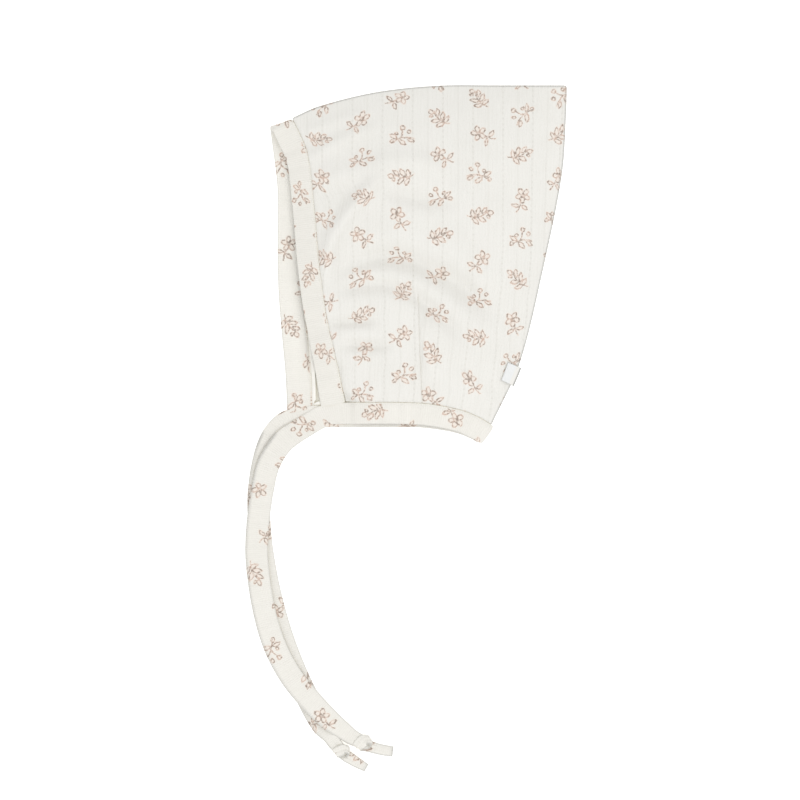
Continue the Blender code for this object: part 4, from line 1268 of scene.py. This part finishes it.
long_rows = np.concatenate((lower_tie[::-1], neck_band_rows, upper_tie))
long_grid, long_flat, long_edge_shade, long_run = strip_cloth(long_rows, LONG_POINTS, shaded_ends=1.0)
long_grids = [(long_grid, long_flat + LONG_PRINT_SHIFT, long_edge_shade, 0.0)]
long_strip = make_cloth("neck_band_and_ties", long_grids, BAND_CLOTH, (band_cloth, band_back))
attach(long_strip, "root")
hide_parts("neck_band", "upper_tie", "lower_tie")
long_width = round(np.ptp(long_flat[..., 1]))
print("The neck band with its ties is", round(long_run[-1]), "mm long and", long_width, "mm wide flat")

# %% [markdown]
# ## The label tab
# A short piece of woven ribbon is folded in two and caught in the back seam. It could be one flat tile, but
# the fold at its free end shows from the side, so the ribbon is bent over, layer on layer. It bears nothing.

# %% The folded ribbon
LABEL_WIDTH = 0.0100        # along the seam
LABEL_REACH = 0.0060        # in from the seam
LABEL_LIP = 0.0010          # out past the seam
LABEL_PLACE = 0.155         # how far up the back seam it is, as a share
RIBBON = 0.00026            # thickness of the ribbon, and half the way between its two layers
LABEL_CLEAR = 0.00095       # from the middle of the panel's cloth to the middle of the folded ribbon


def label_grid():
    """The ribbon as a grid: across it along the seam, and along it from the seam, round its fold and back."""
    path = [(-LABEL_LIP * share, -RIBBON) for share in (1.0, 0.5, 0.0)]
    path += [(LABEL_REACH * share - RIBBON, -RIBBON) for share in (0.12, 0.3, 0.5, 0.7, 0.9, 1.0)]
    back = [(x, -height) for x, height in path[::-1]]
    for step in range(1, 8):
        angle = -math.pi / 2 + math.pi * step / 8
        path.append((LABEL_REACH - RIBBON + RIBBON * math.cos(angle), RIBBON * math.sin(angle)))
    path = np.array(path + back)
    across = np.linspace(-0.5, 0.5, 13)
    seam = LABEL_PLACE + across * LABEL_WIDTH / HEIGHT
    deep = np.linalg.norm(edge(UPPER["back"], seam) - edge(UPPER["front"], seam), axis=1).mean()
    inward = 1 - np.maximum(path[:, 0], 0.0) / deep

    def surface(u, v):
        """Points on the middle of the upper side's cloth."""
        plan = laid_out(UPPER, u, v)
        return np.concatenate((plan, upper_height(plan, u, v)[..., None]), axis=-1)

    small = 0.004
    here = surface(inward, seam)
    inner = unit(here - surface(inward - small, seam))
    up_seam = surface(inward, seam + small) - surface(inward, seam - small)
    normal = unit(np.cross(inner, up_seam))
    clear = LABEL_CLEAR + path[:, 1]
    beyond = np.maximum(-path[:, 0], 0.0)
    grid = here + normal * clear[:, None, None] + inner * beyond[:, None, None]
    flat = np.stack(np.meshgrid(way_along(path) * 1000, across * LABEL_WIDTH * 1000, indexing="ij"), axis=-1)
    return grid, flat


# %% The ribbon's material
LABEL_FACE = (0.728, 0.738, 0.737, 1.0)
THREAD_SHADE = (0.60, 0.58, 0.52, 1.0)
WARP_STEP = 0.42            # mm between threads along the ribbon
WEFT_STEP = 0.30            # mm between threads across it
RIBBON_RELIEF = 0.0001      # metres of the threads' height


def woven_ribbon():
    """Fine ribbed ribbon with an ivory border, and with shade painted on its selvedges and ends."""
    material, tree, shader = new_material("woven_ribbon")
    flat = add_node(tree, "UVMap", uv_map="flat_cloth").outputs["UV"]
    parts = add_node(tree, "SeparateXYZ", flat).outputs
    warp = sums(tree, "SINE", sums(tree, "MULTIPLY", parts["Y"], 2 * math.pi / WARP_STEP))
    weft = sums(tree, "SINE", sums(tree, "MULTIPLY", parts["X"], 2 * math.pi / WEFT_STEP))
    threads = sums(tree, "MULTIPLY_ADD", weft, 0.5, warp)
    from_seam = sums(tree, "PINGPONG", parts["X"], (LABEL_REACH + LABEL_LIP) * 1000)
    ribbon = mixed(tree, ramp(tree, from_seam, 2.3, 2.6, 1.0, 0.0), LABEL_FACE, IVORY)
    selvedge = ramp(tree, sums(tree, "ABSOLUTE", parts["Y"]), 4.55, 4.85, 0.0, 0.35)
    cut_end = ramp(tree, from_seam, 0.25, 0.75, 0.85, 0.0)
    ends = sums(tree, "MAXIMUM", cut_end, ramp(tree, from_seam, 6.4, 6.8, 0.0, 0.3))
    # Shade painted on the selvedges and the cut ends.
    ribbon = mixed(tree, sums(tree, "MAXIMUM", selvedge, ends), ribbon, PAINTED_EDGE_SHADE)
    ribbon = mixed(tree, ramp(tree, threads, -1.2, 1.2, 0.12, 0.0), ribbon, THREAD_SHADE)
    tree.links.new(ribbon, shader.inputs["Base Color"])
    put_bump(tree, shader, threads, 0.3, RIBBON_RELIEF)
    set_sockets(shader, {"Roughness": 0.62, "Sheen Weight": 0.1})
    return material


label_places, label_flat = label_grid()
label = make_cloth("label_ribbon", [(label_places, label_flat, 0.0, 0.0)], RIBBON, (woven_ribbon(),))
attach(label, "root")
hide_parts("label_tab")

# %% [markdown]
# ## The cloth's cut sizes
# Each sheet was cut flat before it was sewn. The panels come from a box of 160 by 182 mm with their corners
# cut away, the bands are straight strips of twice their finished width, and the label is a short ribbon.

# %% The sheets
print("The bonnet is cut from five sheets")
